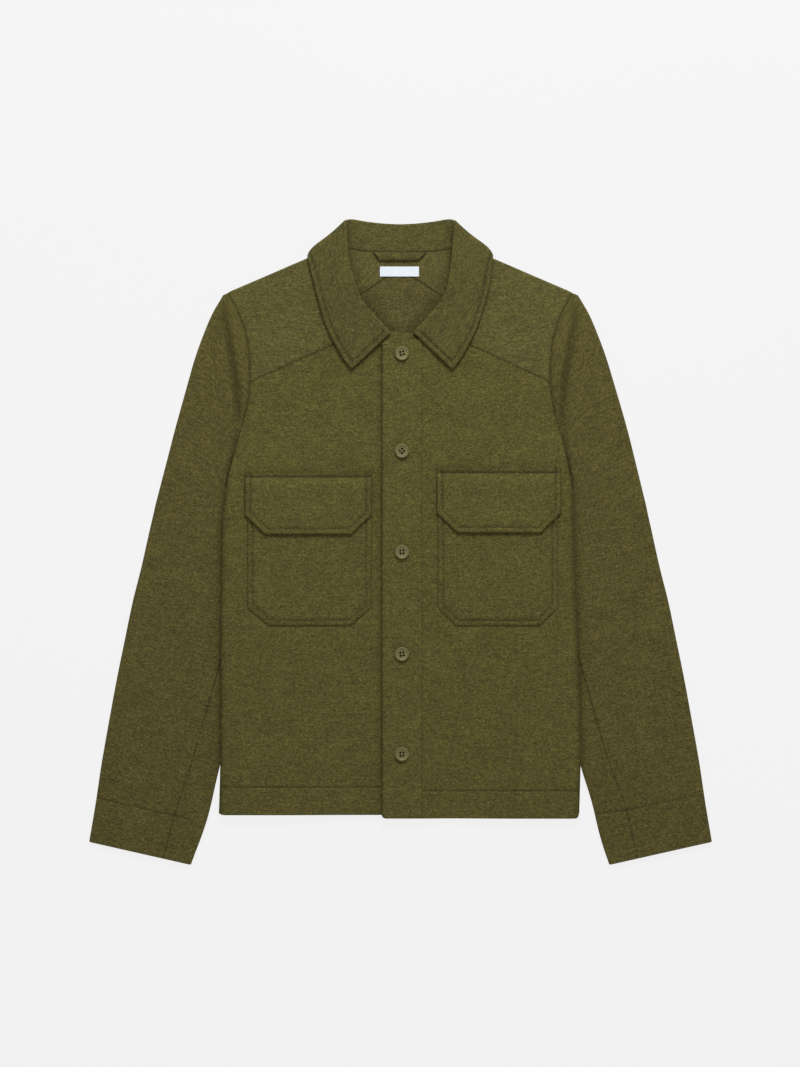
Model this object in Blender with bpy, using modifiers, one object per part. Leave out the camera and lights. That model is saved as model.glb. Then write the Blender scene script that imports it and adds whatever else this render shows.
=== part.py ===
"""Wool overshirt with a collar, two flapped pockets and five buttons, laid out flat.

The garment lies face up on the plane z = 0, with the hem towards -Y and the collar towards +Y.
Sizes below are in millimetres, and right and left are the wearer's.
"""

import math

import bpy
import bmesh
import numpy as np

MM = 0.001
RIGHT = -1
LEFT = 1

# Cloth
CLOTH = 2.0
BAND_CLOTH = 2.6
LABEL_CLOTH = 0.6
SEAM = 0.3
REST_GAP = 0.5
LAYER_SPACE = 1.4
DOUBLE = 2 * CLOTH + LAYER_SPACE
FOLD_RADIUS = DOUBLE / 2
FOLD_ANGLES = [math.radians(degrees) for degrees in (45.0, 0.0, -45.0)]
WELD = 0.01

# Body
HEM_RIGHT_Y = -332.5
HEM_LEFT_Y = -336.0
HEM_BACK_Y = -331.0
CENTRE_FRONT_X = 2.4
LEAN_LOW_Y = 300.0
LEAN_HIGH_Y = 360.0
UNDERLAP_X = 20.0
SIDE_SEAM_REACH = 14.0
SIDE_SEAM_TOP_Y = 60.0
SIDE_SEAM_FULL_Y = 27.0
HEM_SIDE_X = 220.0
BODY_SIDE = [(HEM_SIDE_X, -332.0), (221.0, -240.0), (219.5, -100.0), (217.0, 27.0)]
BACK_YOKE_PEAK = (0.0, 334.0)

# Armhole seam from the underarm to the shoulder, with the sleeve's outer edge beside each row
ARMHOLE_COLUMNS = ("seam_x", "seam_y", "outer_x", "outer_y")
ARMHOLE = [
    (217.0, 27.0, 297.0, 54.0),
    (210.0, 77.0, 287.5, 93.0),
    (198.0, 126.0, 276.0, 139.0),
    (187.5, 163.0, 266.3, 173.0),
    (183.0, 196.0, 258.0, 201.0),
    (183.3, 215.0, 252.5, 219.5),
    (187.5, 252.0, 241.0, 251.5),
    (196.5, 279.0, 229.0, 279.5),
    (209.5, 302.7, 216.5, 301.0),
]
ARMHOLE_STEPS = 2
FRONT_YOKE_ROW = 4
BACK_YOKE_ROW = 5

# Lift of the body over the sleeves tucked under its sides
TUCK_LIFT = DOUBLE + 0.6
TUCK_FLAT_X = 55.0
TUCK_FULL_X = 150.0
TUCK_TOP_Y = 140.0
TUCK_FULL_TOP_Y = 25.0
TUCK_FULL_LOW_Y = -285.0
TUCK_LOW_Y = -340.0
TUCK_LOW_SHARE = 0.75

# Lift of the neck over the back of the collar, which lies under it
COLLAR_LIFT = CLOTH + SEAM
COLLAR_LIFT_LOW_Y = 280.0
COLLAR_LIFT_HIGH_Y = 316.0
COLLAR_LIFT_FULL_X = 116.0
COLLAR_LIFT_END_X = 170.0

# Front band
BAND_LEFT_EDGE_X = -22.4
BAND_SEAM_X = 27.0
BAND_TOP_LOW_Y = 244.9
BAND_TOP_HIGH_Y = 249.6
BAND_LIFT_REACH = 35.0
BAND_LIFT_LOW_Y = 265.0
BAND_LIFT_HIGH_Y = 315.0

# Neckline, from the front throat over the shoulder to the centre back
YOKE_NECK = (35.0, 263.3)
NECK_FRONT = [YOKE_NECK, (57.0, 292.0), (68.0, 321.0), (74.0, 345.0), (77.0, 359.5)]
NECK_BACK = [(77.0, 359.5), (70.0, 361.5), (45.0, 357.3), (22.0, 355.2), (0.0, 354.4)]
NECK_STEPS = 2

# Top edges of the two fronts at the throat, a little below the stand of the collar
UNDERLAP_TOP_Y = 244.5
THROAT_RIGHT = [(-UNDERLAP_X, UNDERLAP_TOP_Y), (CENTRE_FRONT_X, UNDERLAP_TOP_Y),
                (17.0, 246.8), (32.8, 261.6)]
THROAT_LEFT = [(BAND_SEAM_X + SEAM, 252.8), (37.2, 261.5)]

# Way in which the shoulder fold, the straight top edge of the yoke, rounds outward
SHOULDER_NORMAL = (0.41, 0.912)

# Sleeve sections from the cuff to the shoulder point; seam is the share of the width, from the
# inner edge, at which the front seam runs
SLEEVE_COLUMNS = ("outer_x", "outer_y", "inner_x", "inner_y", "seam")
SLEEVE_ROWS = [
    (379.5, -365.4, 255.4, -393.5, 0.27),
    (371.5, -318.0, 236.0, -340.0, 0.29),
    (364.0, -268.0, 223.5, -288.0, 0.25),
    (355.0, -217.0, 211.0, -236.0, 0.225),
    (346.0, -168.0, 199.0, -185.0, 0.205),
    (336.0, -119.0, 186.0, -133.0, 0.19),
    (326.0, -71.0, 174.0, -82.0, 0.18),
    (315.0, -27.0, 165.0, -34.0, 0.17),
    (306.0, 14.0, 168.0, -3.0, 0.15),
    (301.5, 34.0, 187.0, 13.0, 0.11),
    (299.0, 46.0, 206.0, 22.0, 0.08),
]
TOP_POINTS = 7
UNDER_POINTS = 3
BENEATH_POINTS = 3
CAP_HOLLOW_DEPTH = 0.9
CAP_HOLLOW_OUT = 30.0
CAP_HOLLOW_SPREAD = 15.0
CAP_HOLLOW_LOW_Y = 50.0
CAP_HOLLOW_HIGH_Y = 290.0
CAP_HOLLOW_FADE = 60.0

# Collar sections from the throat round to the centre back; turn is the way the fall lies from
# the stand: 90 above it in front, 0 beside it at the shoulder, -90 under it behind
COLLAR_COLUMNS = ("neck_x", "neck_y", "fold_x", "fold_y", "edge_x", "edge_y", "turn", "rise")
COLLAR_ROWS = [
    (20.0, 250.2, 13.0, 256.0, 61.6, 210.4, 90, 1.0),
    (29.0, 258.0, 22.0, 265.5, 70.5, 222.5, 90, 1.5),
    (38.0, 266.6, 32.0, 276.0, 79.0, 236.0, 90, 1.8),
    (57.0, 292.0, 50.0, 299.0, 92.5, 264.0, 90, 1.8),
    (68.0, 321.0, 58.0, 324.5, 104.0, 301.0, 90, 1.5),
    (74.0, 345.0, 63.4, 356.0, 110.5, 332.0, 90, 0.8),
    (76.2, 355.0, 65.2, 379.0, 112.5, 343.5, 90, 0.2),
    (77.0, 359.5, 65.0, 390.0, 112.2, 346.6, 60, 0.0),
    (77.0, 359.5, 65.0, 390.0, 112.2, 346.6, 30, 0.0),
    (77.0, 359.5, 65.0, 390.0, 112.2, 346.6, 0, 0.0),
    (77.0, 359.5, 65.0, 390.0, 112.2, 346.6, -30, 0.0),
    (77.0, 359.5, 65.0, 390.0, 112.2, 346.6, -60, 0.0),
    (73.0, 361.0, 60.0, 392.6, 104.0, 346.5, -90, 0.0),
    (45.0, 357.3, 38.0, 391.3, 62.0, 341.5, -90, 0.0),
    (22.0, 355.2, 19.0, 389.4, 31.0, 339.0, -90, 0.0),
    (0.0, 354.4, 0.0, 388.5, 0.0, 338.5, -90, 0.0),
]
COLLAR_FOLD_NORMAL = (0.70, 0.714)
COLLAR_FOLD_Z = 5.7
COLLAR_NECK_GAP = 1.4
STAND_HALF = 2.2
FALL_HALF = 4.7
STAND_POINTS = 4
FALL_POINTS = 7
FALL_ROUNDING = 1.5
FLOOR_GAP = 0.02
STAND_END_NECK = (-8.5, 247.0)
STAND_END_FOLD = (-8.5, 255.2)
STAND_END_LOW_Z = 7.0
STAND_END_HIGH_Z = 9.6

# Pockets and flaps, with their lower corners cut off
POCKET_COLUMNS = ("name", "low_x", "high_x", "top_y", "corner_y", "bottom_y", "cut", "layer")
POCKET_ROWS = [
    ("pocket_right", -186.3, -34.6, 80.0, -80.0, -102.2, 26.0, 1),
    ("flap_right", -188.9, -34.6, 86.5, 33.6, 9.8, 25.0, 2),
    ("pocket_left", 46.0, 192.4, 84.0, -80.0, -102.2, 22.0, 1),
    ("flap_left", 44.9, 196.3, 91.7, 36.4, 11.7, 25.0, 2),
]

# Buttons
BUTTON_Y = [230.6, 111.6, -11.6, -136.0, -258.0]
BUTTON_RADIUS = 8.65
BUTTON_HEIGHT = 3.2
BUTTON_RIM = 1.9
BUTTON_DISH = 0.9
BUTTON_EDGE = 0.6
BUTTON_STEPS = 18
HOLE_RADIUS = 1.0
HOLE_SPACING = 3.4
HOLE_SIDES = 6

# Hanger loop and bare label inside the back neck
LOOP_TOP = [(-32.5, 353.2), (-24.0, 350.6), (0.0, 349.8), (25.0, 350.6), (34.8, 353.2)]
LOOP_LOW = [(-29.0, 347.4), (-21.0, 343.6), (0.0, 342.8), (21.0, 343.6), (30.0, 347.4)]
LOOP_STEPS = 2
LOOP_ROWS = 3
LABEL_LOW_X = -24.6
LABEL_HIGH_X = 23.2
LABEL_LOW_Y = 324.4
LABEL_HIGH_Y = 336.7
LABEL_COLUMNS = 5
LABEL_ROWS = 4

# Finish
OLIVE_BODY = (85, 80, 43)
OLIVE_YOKE = (93, 87, 50)
OLIVE_COLLAR = (84, 78, 43)
OLIVE_SLEEVE = (82, 77, 40)
BUTTON_KHAKI = (130, 125, 90)
LABEL_WHITE = (226, 232, 238)
WOOL_ROUGHNESS = 0.95
BUTTON_ROUGHNESS = 0.4


def smooth(value):
    """Ease from 0 to 1."""
    share = np.clip(value, 0.0, 1.0)
    return share * share * (3.0 - 2.0 * share)


def unit(vector):
    vector = np.asarray(vector, float)
    return vector / np.linalg.norm(vector)


def line(points, count):
    """Evenly spaced points on straight stretches through a table's rows."""
    knots = np.asarray(points, float)
    along = np.concatenate(([0.0], np.cumsum(np.linalg.norm(np.diff(knots, axis=0), axis=1))))
    at = np.linspace(0.0, along[-1], count)
    return np.stack([np.interp(at, along, column) for column in knots.T], axis=1)


def curve(points, steps):
    """Smooth line through a table's rows, with the given number of steps between rows."""
    knots = np.asarray(points, float)
    spans = np.linalg.norm(np.diff(knots, axis=0), axis=1)
    along = np.concatenate(([0.0], np.cumsum(spans)))
    slopes = np.gradient(knots, along, axis=0)
    made = []
    for i, span in enumerate(spans):
        for t in np.arange(steps) / steps:
            near = (1 + 2 * t) * (1 - t) ** 2 * knots[i] + t * (1 - t) ** 2 * span * slopes[i]
            far = t * t * (3 - 2 * t) * knots[i + 1] + t * t * (t - 1) * span * slopes[i + 1]
            made.append(near + far)
    return np.array(made + [knots[-1]])


def chain(*stretches):
    """One line of points from stretches that share their ends."""
    return np.concatenate([stretches[0]] + [stretch[1:] for stretch in stretches[1:]])


def patch(low, high, start, end):
    """Grid of plan points between four edges: low and high run across, start and end up."""
    u = np.linspace(0.0, 1.0, len(low))[None, :, None]
    v = np.linspace(0.0, 1.0, len(start))[:, None, None]
    across = (1 - u) * start[:, None] + u * end[:, None]
    upward = (1 - v) * low[None, :] + v * high[None, :]
    lower = (1 - u) * low[0] + u * low[-1]
    upper = (1 - u) * high[0] + u * high[-1]
    return across + upward - (1 - v) * lower - v * upper


def lean(points, side):
    """Front of the neck on one half, moved over with the line of the buttons."""
    moved = np.array(points, float)
    share = 1 - smooth((moved[..., 1] - LEAN_LOW_Y) / (LEAN_HIGH_Y - LEAN_LOW_Y))
    moved[..., 0] += side * CENTRE_FRONT_X * share
    return moved


def mirrored(points, side):
    """Plan points of one half, moved to the given side."""
    turned = np.array(points, float)
    turned[..., 0] *= side
    return turned


def armhole_line(*columns):
    """Smooth line through the named columns of the armhole table."""
    at = [ARMHOLE_COLUMNS.index(column) for column in columns]
    return curve([[row[i] for i in at] for row in ARMHOLE], ARMHOLE_STEPS)


def armhole(first=0, last=len(ARMHOLE) - 1):
    """Points of the armhole seam between two of its rows."""
    seam = armhole_line("seam_x", "seam_y")
    return seam[first * ARMHOLE_STEPS:last * ARMHOLE_STEPS + 1]


def base_height(x, y):
    """Height of the body's underside above the floor."""
    rising = smooth((TUCK_TOP_Y - y) / (TUCK_TOP_Y - TUCK_FULL_TOP_Y))
    falling = smooth((y - TUCK_LOW_Y) / (TUCK_FULL_LOW_Y - TUCK_LOW_Y))
    share = rising * (TUCK_LOW_SHARE + (1 - TUCK_LOW_SHARE) * falling)
    tuck = TUCK_LIFT * share * smooth((abs(x) - TUCK_FLAT_X) / (TUCK_FULL_X - TUCK_FLAT_X))
    upward = smooth((y - COLLAR_LIFT_LOW_Y) / (COLLAR_LIFT_HIGH_Y - COLLAR_LIFT_LOW_Y))
    outward = smooth((abs(x) - COLLAR_LIFT_FULL_X) / (COLLAR_LIFT_END_X - COLLAR_LIFT_FULL_X))
    return tuck + COLLAR_LIFT * upward * (1 - outward)


def side_x(y):
    return np.interp(y, [row[1] for row in BODY_SIDE], [row[0] for row in BODY_SIDE])


def front_height(x, y, side):
    """Height of the outer face of the front layer, on the given side of the buttons."""
    height = base_height(x, y) + DOUBLE
    below_arm = smooth((SIDE_SEAM_TOP_Y - y) / (SIDE_SEAM_TOP_Y - SIDE_SEAM_FULL_Y))
    near_side = smooth((abs(x) - side_x(y) + SIDE_SEAM_REACH) / SIDE_SEAM_REACH)
    height = height - (LAYER_SPACE - REST_GAP) * below_arm * near_side
    if side == LEFT:
        beside_band = smooth((BAND_SEAM_X + BAND_LIFT_REACH - x) / BAND_LIFT_REACH)
        below_neck = smooth((BAND_LIFT_HIGH_Y - y) / (BAND_LIFT_HIGH_Y - BAND_LIFT_LOW_Y))
        height = height + (CLOTH + SEAM) * beside_band * below_neck
    return height


def band_height(x, y):
    """Height of the outer face of the front band, over the underlap."""
    return base_height(x, y) + DOUBLE + SEAM + BAND_CLOTH


def inside_height(x, y):
    """Height of the back's inner face, which shows in the neck."""
    return base_height(x, y) + CLOTH


def raised(plan, height):
    """Plan points with a height worked out at each."""
    return np.dstack((plan, height(plan[..., 0], plan[..., 1])))


def linear(colour):
    """Scene-linear colour of a colour given in 0 to 255."""
    shares = [channel / 255.0 for channel in colour]
    return [s / 12.92 if s <= 0.04045 else ((s + 0.055) / 1.055) ** 2.4 for s in shares] + [1.0]


def finish(piece, colour, roughness):
    """Material of a piece's own."""
    material = bpy.data.materials.new(piece.name)
    material.use_nodes = True
    shader = material.node_tree.nodes["Principled BSDF"]
    shader.inputs["Base Color"].default_value = linear(colour)
    shader.inputs["Roughness"].default_value = roughness
    shader.inputs["Metallic"].default_value = 0.0
    piece.data.materials.append(material)


def collect(name):
    collection = bpy.data.collections.new(name)
    bpy.context.scene.collection.children.link(collection)
    return collection


def sheet(name, grids, colour, thickness=CLOTH, outward=1, offset=-1.0, skip=None):
    """Cloth wall on one or more grids of points, whose first face looks up (1) or down (-1)."""
    shape = bmesh.new()
    for grid in grids:
        rows, columns = grid.shape[:2]
        corner = grid[0, 0]
        normal_z = np.cross(grid[0, 1] - corner, grid[1, 0] - corner)[2]
        points = [[shape.verts.new(point * MM) for point in row] for row in grid]
        for i in range(rows - 1):
            for j in range(columns - 1):
                if skip and skip(i, j):
                    continue
                quad = [points[i][j], points[i][j + 1], points[i + 1][j + 1], points[i + 1][j]]
                shape.faces.new(quad if normal_z * outward > 0 else quad[::-1])
    loose = [point for point in shape.verts if not point.link_faces]
    bmesh.ops.delete(shape, geom=loose, context="VERTS")
    bmesh.ops.remove_doubles(shape, verts=shape.verts, dist=WELD * MM)
    mesh = bpy.data.meshes.new(name)
    shape.to_mesh(mesh)
    shape.free()
    mesh.shade_smooth()
    piece = bpy.data.objects.new(name, mesh)
    parts.objects.link(piece)
    piece.parent = garment
    wall = piece.modifiers.new("cloth", "SOLIDIFY")
    wall.thickness = thickness * MM
    wall.offset = offset
    wall.use_even_offset = True
    finish(piece, colour, WOOL_ROUGHNESS)
    return piece


def make_back():
    """Back panel from the hem to the arched yoke seam, underside down."""
    columns, side_rows = 10, 14
    halves = []
    for side in (RIGHT, LEFT):
        hem = line([(0.0, HEM_BACK_Y), (HEM_SIDE_X, HEM_BACK_Y)], columns)
        arm = armhole(last=BACK_YOKE_ROW)
        arm[-1, 1] -= SEAM
        seam = line([BACK_YOKE_PEAK, arm[-1]], columns)
        seam[:, 1] -= SEAM * np.linspace(1.0, 0.0, columns)
        outline = chain(line([hem[-1]] + BODY_SIDE[1:], side_rows), arm)
        centre = line([hem[0], seam[0]], len(outline))
        plan = mirrored(patch(hem, seam, centre, outline), side)
        halves.append(raised(plan, base_height))
    sheet("back", halves, OLIVE_BODY, outward=-1)


def make_front(name, side, hem_y, centre_x, neck, neck_columns):
    """Front panel from the hem to the yoke seam and the neckline."""
    columns, side_rows = 17, 14
    arm = armhole(last=FRONT_YOKE_ROW)
    arm[-1, 1] -= SEAM
    hem = line([(centre_x, hem_y), (HEM_SIDE_X, hem_y)], columns)
    top = chain(line(neck, neck_columns + 1), line([neck[-1], arm[-1]], columns - neck_columns))
    outline = chain(line([hem[-1]] + BODY_SIDE[1:], side_rows), arm)
    centre = line([hem[0], top[0]], len(outline))
    plan = mirrored(patch(hem, top, centre, outline), side)
    sheet(name, [raised(plan, lambda x, y: front_height(x, y, side))], OLIVE_BODY)


def make_fronts():
    """Front under the buttons with its underlap, and front that carries the band."""
    make_front("front_right", RIGHT, HEM_RIGHT_Y, -UNDERLAP_X, THROAT_RIGHT, neck_columns=4)
    make_front("front_left", LEFT, HEM_LEFT_Y, BAND_SEAM_X + SEAM, THROAT_LEFT, neck_columns=1)


def make_band():
    """Front band with the buttonholes, over the underlap."""
    columns, rows = 5, 24
    low = line([(BAND_LEFT_EDGE_X, HEM_LEFT_Y), (BAND_SEAM_X, HEM_LEFT_Y)], columns)
    high = line([(BAND_LEFT_EDGE_X, BAND_TOP_LOW_Y), (BAND_SEAM_X, BAND_TOP_HIGH_Y)], columns)
    plan = patch(low, high, line([low[0], high[0]], rows), line([low[-1], high[-1]], rows))
    sheet("placket", [raised(plan, band_height)], OLIVE_BODY, thickness=BAND_CLOTH)


def make_yoke():
    """Yoke in one piece, folded over both shoulders and meeting at the centre back."""
    columns = 9
    halves = []
    for side in (RIGHT, LEFT):
        normal = np.array(SHOULDER_NORMAL)
        arm = armhole(first=FRONT_YOKE_ROW)
        back_arm = armhole(first=BACK_YOKE_ROW)[::-1]
        front_neck = lean(curve(NECK_FRONT, NECK_STEPS), side)
        seam = line([front_neck[0], arm[0]], columns)
        fold = line([front_neck[-1], arm[-1]], columns)
        front = patch(seam, fold, front_neck, arm)
        back_seam = line([BACK_YOKE_PEAK, back_arm[-1]], columns)
        back_neck = line(NECK_BACK, len(back_arm) - 1)
        back_neck = chain(back_neck, line([back_neck[-1], BACK_YOKE_PEAK], 2))
        back = patch(fold, back_seam, back_neck, back_arm)
        front = raised(mirrored(front, side), lambda x, y: front_height(x, y, side))
        back = raised(mirrored(back, side), base_height)
        turn = []
        for angle in FOLD_ANGLES:
            out = FOLD_RADIUS * math.cos(angle) * normal
            row = mirrored(fold + out, side)
            middle = (front[-1, :, 2] + back[0, :, 2]) / 2
            half = (front[-1, :, 2] - back[0, :, 2]) / 2
            turn.append(np.column_stack((row, middle + half * math.sin(angle))))
        halves.append(np.concatenate((front, np.array(turn), back)))
    sheet("yoke", halves, OLIVE_YOKE)


def cap_rows():
    """Sections of the sleeve's cap, from a seam's gap off the armhole to the outer edge."""
    seam = armhole()
    along = np.gradient(seam, axis=0)
    beside = np.column_stack((along[:, 1], -along[:, 0]))
    beside = beside / np.linalg.norm(beside, axis=1)[:, None]
    outer = armhole_line("outer_x", "outer_y")
    rows = np.column_stack((outer, seam + SEAM * beside, np.zeros(len(seam))))
    return [tuple(row) for row in rows]


def sleeve_row(row, under):
    """Section of one sleeve piece: over the top, round a folded edge and back underneath."""
    values = dict(zip(SLEEVE_COLUMNS, row))
    inner = np.array((values["inner_x"], values["inner_y"]))
    outer = np.array((values["outer_x"], values["outer_y"]))
    width = np.linalg.norm(outer - inner)
    seam = values["seam"] * width
    if under:
        start, fold, turn, count = seam - SEAM, FOLD_RADIUS, -1.0, UNDER_POINTS
    else:
        start, fold, turn, count = seam, width - FOLD_RADIUS, 1.0, TOP_POINTS
    flat = np.linspace(start, fold, count)
    hollow = np.exp(-((flat - CAP_HOLLOW_OUT) / CAP_HOLLOW_SPREAD) ** 2)
    hollow = hollow * smooth((values["inner_y"] - CAP_HOLLOW_LOW_Y) / CAP_HOLLOW_FADE)
    hollow = hollow * smooth((CAP_HOLLOW_HIGH_Y - values["inner_y"]) / CAP_HOLLOW_FADE)
    over = [(d, DOUBLE - CAP_HOLLOW_DEPTH * h) for d, h in zip(flat, hollow)]
    edge = [(fold + turn * FOLD_RADIUS * math.cos(a), FOLD_RADIUS * (1 + math.sin(a)))
            for a in FOLD_ANGLES]
    beneath = [(d, 0.0) for d in np.linspace(fold, start, BENEATH_POINTS)]
    across = unit(outer - inner)
    return [(*(inner + across * d), z) for d, z in over + edge + beneath]


def make_sleeves():
    """Two-piece sleeves: flattened tubes with a front seam, open at cuff and armhole."""
    for word, side in (("right", RIGHT), ("left", LEFT)):
        top = np.array([sleeve_row(row, False) for row in SLEEVE_ROWS + cap_rows()])
        under = np.array([sleeve_row(row, True) for row in SLEEVE_ROWS])
        sheet("sleeve_top_" + word, [mirrored(top, side)], OLIVE_SLEEVE)
        sheet("sleeve_under_" + word, [mirrored(under, side)], OLIVE_SLEEVE)


def placed(plan, normal, turn, above, beneath):
    """Point of a folded layer, between its heights in front and behind."""
    middle = (above + beneath) / 2
    half = (above - beneath) / 2
    shifted = plan + half * math.cos(turn) * normal
    return np.array((*shifted, middle + half * math.sin(turn)))


def collar_row(row, side):
    """Section of the collar: up the stand, round the roll and down the fall."""
    values = dict(zip(COLLAR_COLUMNS, row))
    turn = math.radians(values["turn"])
    flip = np.array((side, 1.0))
    neck = lean((values["neck_x"], values["neck_y"]), side) * flip
    fold = lean((values["fold_x"], values["fold_y"]), side) * flip
    edge = lean((values["edge_x"], values["edge_y"]), side) * flip
    shoulder = np.array(SHOULDER_NORMAL) * flip
    outward = np.array(COLLAR_FOLD_NORMAL) * flip
    upward = unit(fold - neck)
    roll = (FALL_HALF - STAND_HALF) / 2
    fold = fold - upward * (roll + CLOTH / 2)
    neck = neck + upward * COLLAR_NECK_GAP
    inside = inside_height(*neck) - CLOTH / 2
    outside = front_height(*neck, side) - CLOTH / 2
    low = placed(neck, shoulder, turn, outside, inside)
    height = COLLAR_FOLD_Z + values["rise"]
    stand = placed(fold, outward, turn, height + STAND_HALF, height - STAND_HALF)
    fall = placed(fold, outward, turn, height + FALL_HALF, height - FALL_HALF + FLOOR_GAP)
    over = front_height(*edge, side) + REST_GAP + CLOTH / 2
    tip = placed(edge, shoulder, turn, over, FLOOR_GAP + CLOTH / 2)
    centre = (stand + fall) / 2
    away = (fall - stand) / 2
    rise = np.array((*upward, 0.0)) * roll
    section = [low + (stand - low) * share for share in np.linspace(0.0, 1.0, STAND_POINTS)]
    section += [centre - away * math.sin(a) + rise * math.cos(a) for a in FOLD_ANGLES]
    for share in np.linspace(0.0, 1.0, FALL_POINTS):
        point = fall + (tip - fall) * share
        point[2] = tip[2] + (fall[2] - tip[2]) * (1 - share) ** FALL_ROUNDING
        section.append(point)
    return np.array(section)


def stand_end(section):
    """Section where the stand crosses the throat; it has no fall."""
    low = np.array((*STAND_END_NECK, STAND_END_LOW_Z))
    high = np.array((*STAND_END_FOLD, STAND_END_HIGH_Z))
    ended = section.copy()
    shares = np.linspace(0.0, 1.0, STAND_POINTS)
    ended[:STAND_POINTS] = [low + (high - low) * share for share in shares]
    return ended


def make_collar():
    """Collar with stand and fall in one, rolled round the neck and open at the throat."""
    right = [collar_row(row, RIGHT) for row in COLLAR_ROWS]
    left = [collar_row(row, LEFT) for row in COLLAR_ROWS[-2::-1]]
    rows = right + left
    rows.append(stand_end(rows[-1]))
    last = len(rows) - 2
    sheet("collar", [np.array(rows)], OLIVE_COLLAR, offset=0.0,
          skip=lambda i, j: i == last and j >= STAND_POINTS - 1)


def make_pockets():
    """Pocket bags and their flaps, on the fronts."""
    columns, corner_rows, rows = 11, 2, 8
    for row in POCKET_ROWS:
        values = dict(zip(POCKET_COLUMNS, row))
        side = LEFT if values["low_x"] > 0 else RIGHT
        low_x, high_x, cut = values["low_x"], values["high_x"], values["cut"]
        low = line([(low_x + cut, values["bottom_y"]), (high_x - cut, values["bottom_y"])], columns)
        high = line([(low_x, values["top_y"]), (high_x, values["top_y"])], columns)
        start = chain(line([low[0], (low_x, values["corner_y"])], corner_rows),
                      line([(low_x, values["corner_y"]), high[0]], rows))
        end = chain(line([low[-1], (high_x, values["corner_y"])], corner_rows),
                    line([(high_x, values["corner_y"]), high[-1]], rows))
        lift = values["layer"] * (CLOTH + REST_GAP)
        grid = raised(patch(low, high, start, end),
                      lambda x, y: front_height(x, y, side) + lift)
        sheet(values["name"], [grid], OLIVE_BODY)


def make_buttons():
    """Four-hole buttons with a raised rim, on the front band."""
    rim_x = BUTTON_RADIUS - BUTTON_RIM
    dish_z = BUTTON_HEIGHT - BUTTON_DISH
    profile = [(0.0, dish_z), (rim_x - BUTTON_EDGE, dish_z), (rim_x + BUTTON_EDGE, BUTTON_HEIGHT),
               (BUTTON_RADIUS - BUTTON_EDGE, BUTTON_HEIGHT),
               (BUTTON_RADIUS, BUTTON_HEIGHT - BUTTON_EDGE),
               (BUTTON_RADIUS - BUTTON_EDGE, 0.0), (0.0, 0.0)]
    half = bpy.data.meshes.new("button_profile")
    half.from_pydata([(x * MM, 0.0, z * MM) for x, z in profile],
                     [(i, i + 1) for i in range(len(profile) - 1)], [])
    holes = bmesh.new()
    for corner in range(4):
        angle = math.radians(45.0 + 90.0 * corner)
        made = bmesh.ops.create_cone(holes, cap_ends=True, segments=HOLE_SIDES,
                                     radius1=HOLE_RADIUS * MM, radius2=HOLE_RADIUS * MM,
                                     depth=4 * BUTTON_HEIGHT * MM)
        reach = HOLE_SPACING / math.sqrt(2.0) * MM
        bmesh.ops.translate(holes, verts=made["verts"],
                            vec=(reach * math.cos(angle), reach * math.sin(angle), 0.0))
    hole_mesh = bpy.data.meshes.new("button_holes")
    holes.to_mesh(hole_mesh)
    holes.free()
    for number, y in enumerate(BUTTON_Y, start=1):
        place = (CENTRE_FRONT_X * MM, y * MM, (band_height(CENTRE_FRONT_X, y) + SEAM) * MM)
        piece = bpy.data.objects.new("button_%d" % number, half.copy())
        parts.objects.link(piece)
        piece.parent = garment
        piece.location = place
        turned = piece.modifiers.new("turned", "SCREW")
        turned.steps = BUTTON_STEPS
        turned.render_steps = BUTTON_STEPS
        turned.use_merge_vertices = True
        turned.merge_threshold = WELD * MM
        cutter = bpy.data.objects.new("holes_%d" % number, hole_mesh)
        cutters.objects.link(cutter)
        cutter.parent = garment
        cutter.location = place
        cutter.hide_render = True
        cutter.display_type = "WIRE"
        drilled = piece.modifiers.new("holes", "BOOLEAN")
        drilled.operation = "DIFFERENCE"
        drilled.object = cutter
        finish(piece, BUTTON_KHAKI, BUTTON_ROUGHNESS)


def make_neck_trim():
    """Hanger loop and bare label on the inside of the back neck."""
    low = curve(LOOP_LOW, LOOP_STEPS)
    high = curve(LOOP_TOP, LOOP_STEPS)
    plan = patch(low, high, line([low[0], high[0]], LOOP_ROWS), line([low[-1], high[-1]], LOOP_ROWS))
    sheet("hanger_loop", [raised(plan, lambda x, y: inside_height(x, y) + SEAM + CLOTH)],
          OLIVE_COLLAR)
    low = line([(LABEL_LOW_X, LABEL_LOW_Y), (LABEL_HIGH_X, LABEL_LOW_Y)], LABEL_COLUMNS)
    high = line([(LABEL_LOW_X, LABEL_HIGH_Y), (LABEL_HIGH_X, LABEL_HIGH_Y)], LABEL_COLUMNS)
    plan = patch(low, high, line([low[0], high[0]], LABEL_ROWS), line([low[-1], high[-1]], LABEL_ROWS))
    sheet("label", [raised(plan, lambda x, y: inside_height(x, y) + REST_GAP + LABEL_CLOTH)],
          LABEL_WHITE, thickness=LABEL_CLOTH)


for old in list(bpy.data.objects):
    bpy.data.objects.remove(old, do_unlink=True)

parts = collect("overshirt")
cutters = collect("cutters")
garment = bpy.data.objects.new("garment", None)
parts.objects.link(garment)

make_back()
make_fronts()
make_band()
make_yoke()
make_sleeves()
make_collar()
make_pockets()
make_buttons()
make_neck_trim()
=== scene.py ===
"""Looks of an olive wool overshirt laid flat: felted cloth shells, seams, stitching and buttons.

Sizes are in millimetres, right and left are the wearer's, and the garment lies face up on z = 0
with the hem towards -Y. The tables repeat those of the solids, and the grids here are finer.
"""

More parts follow.
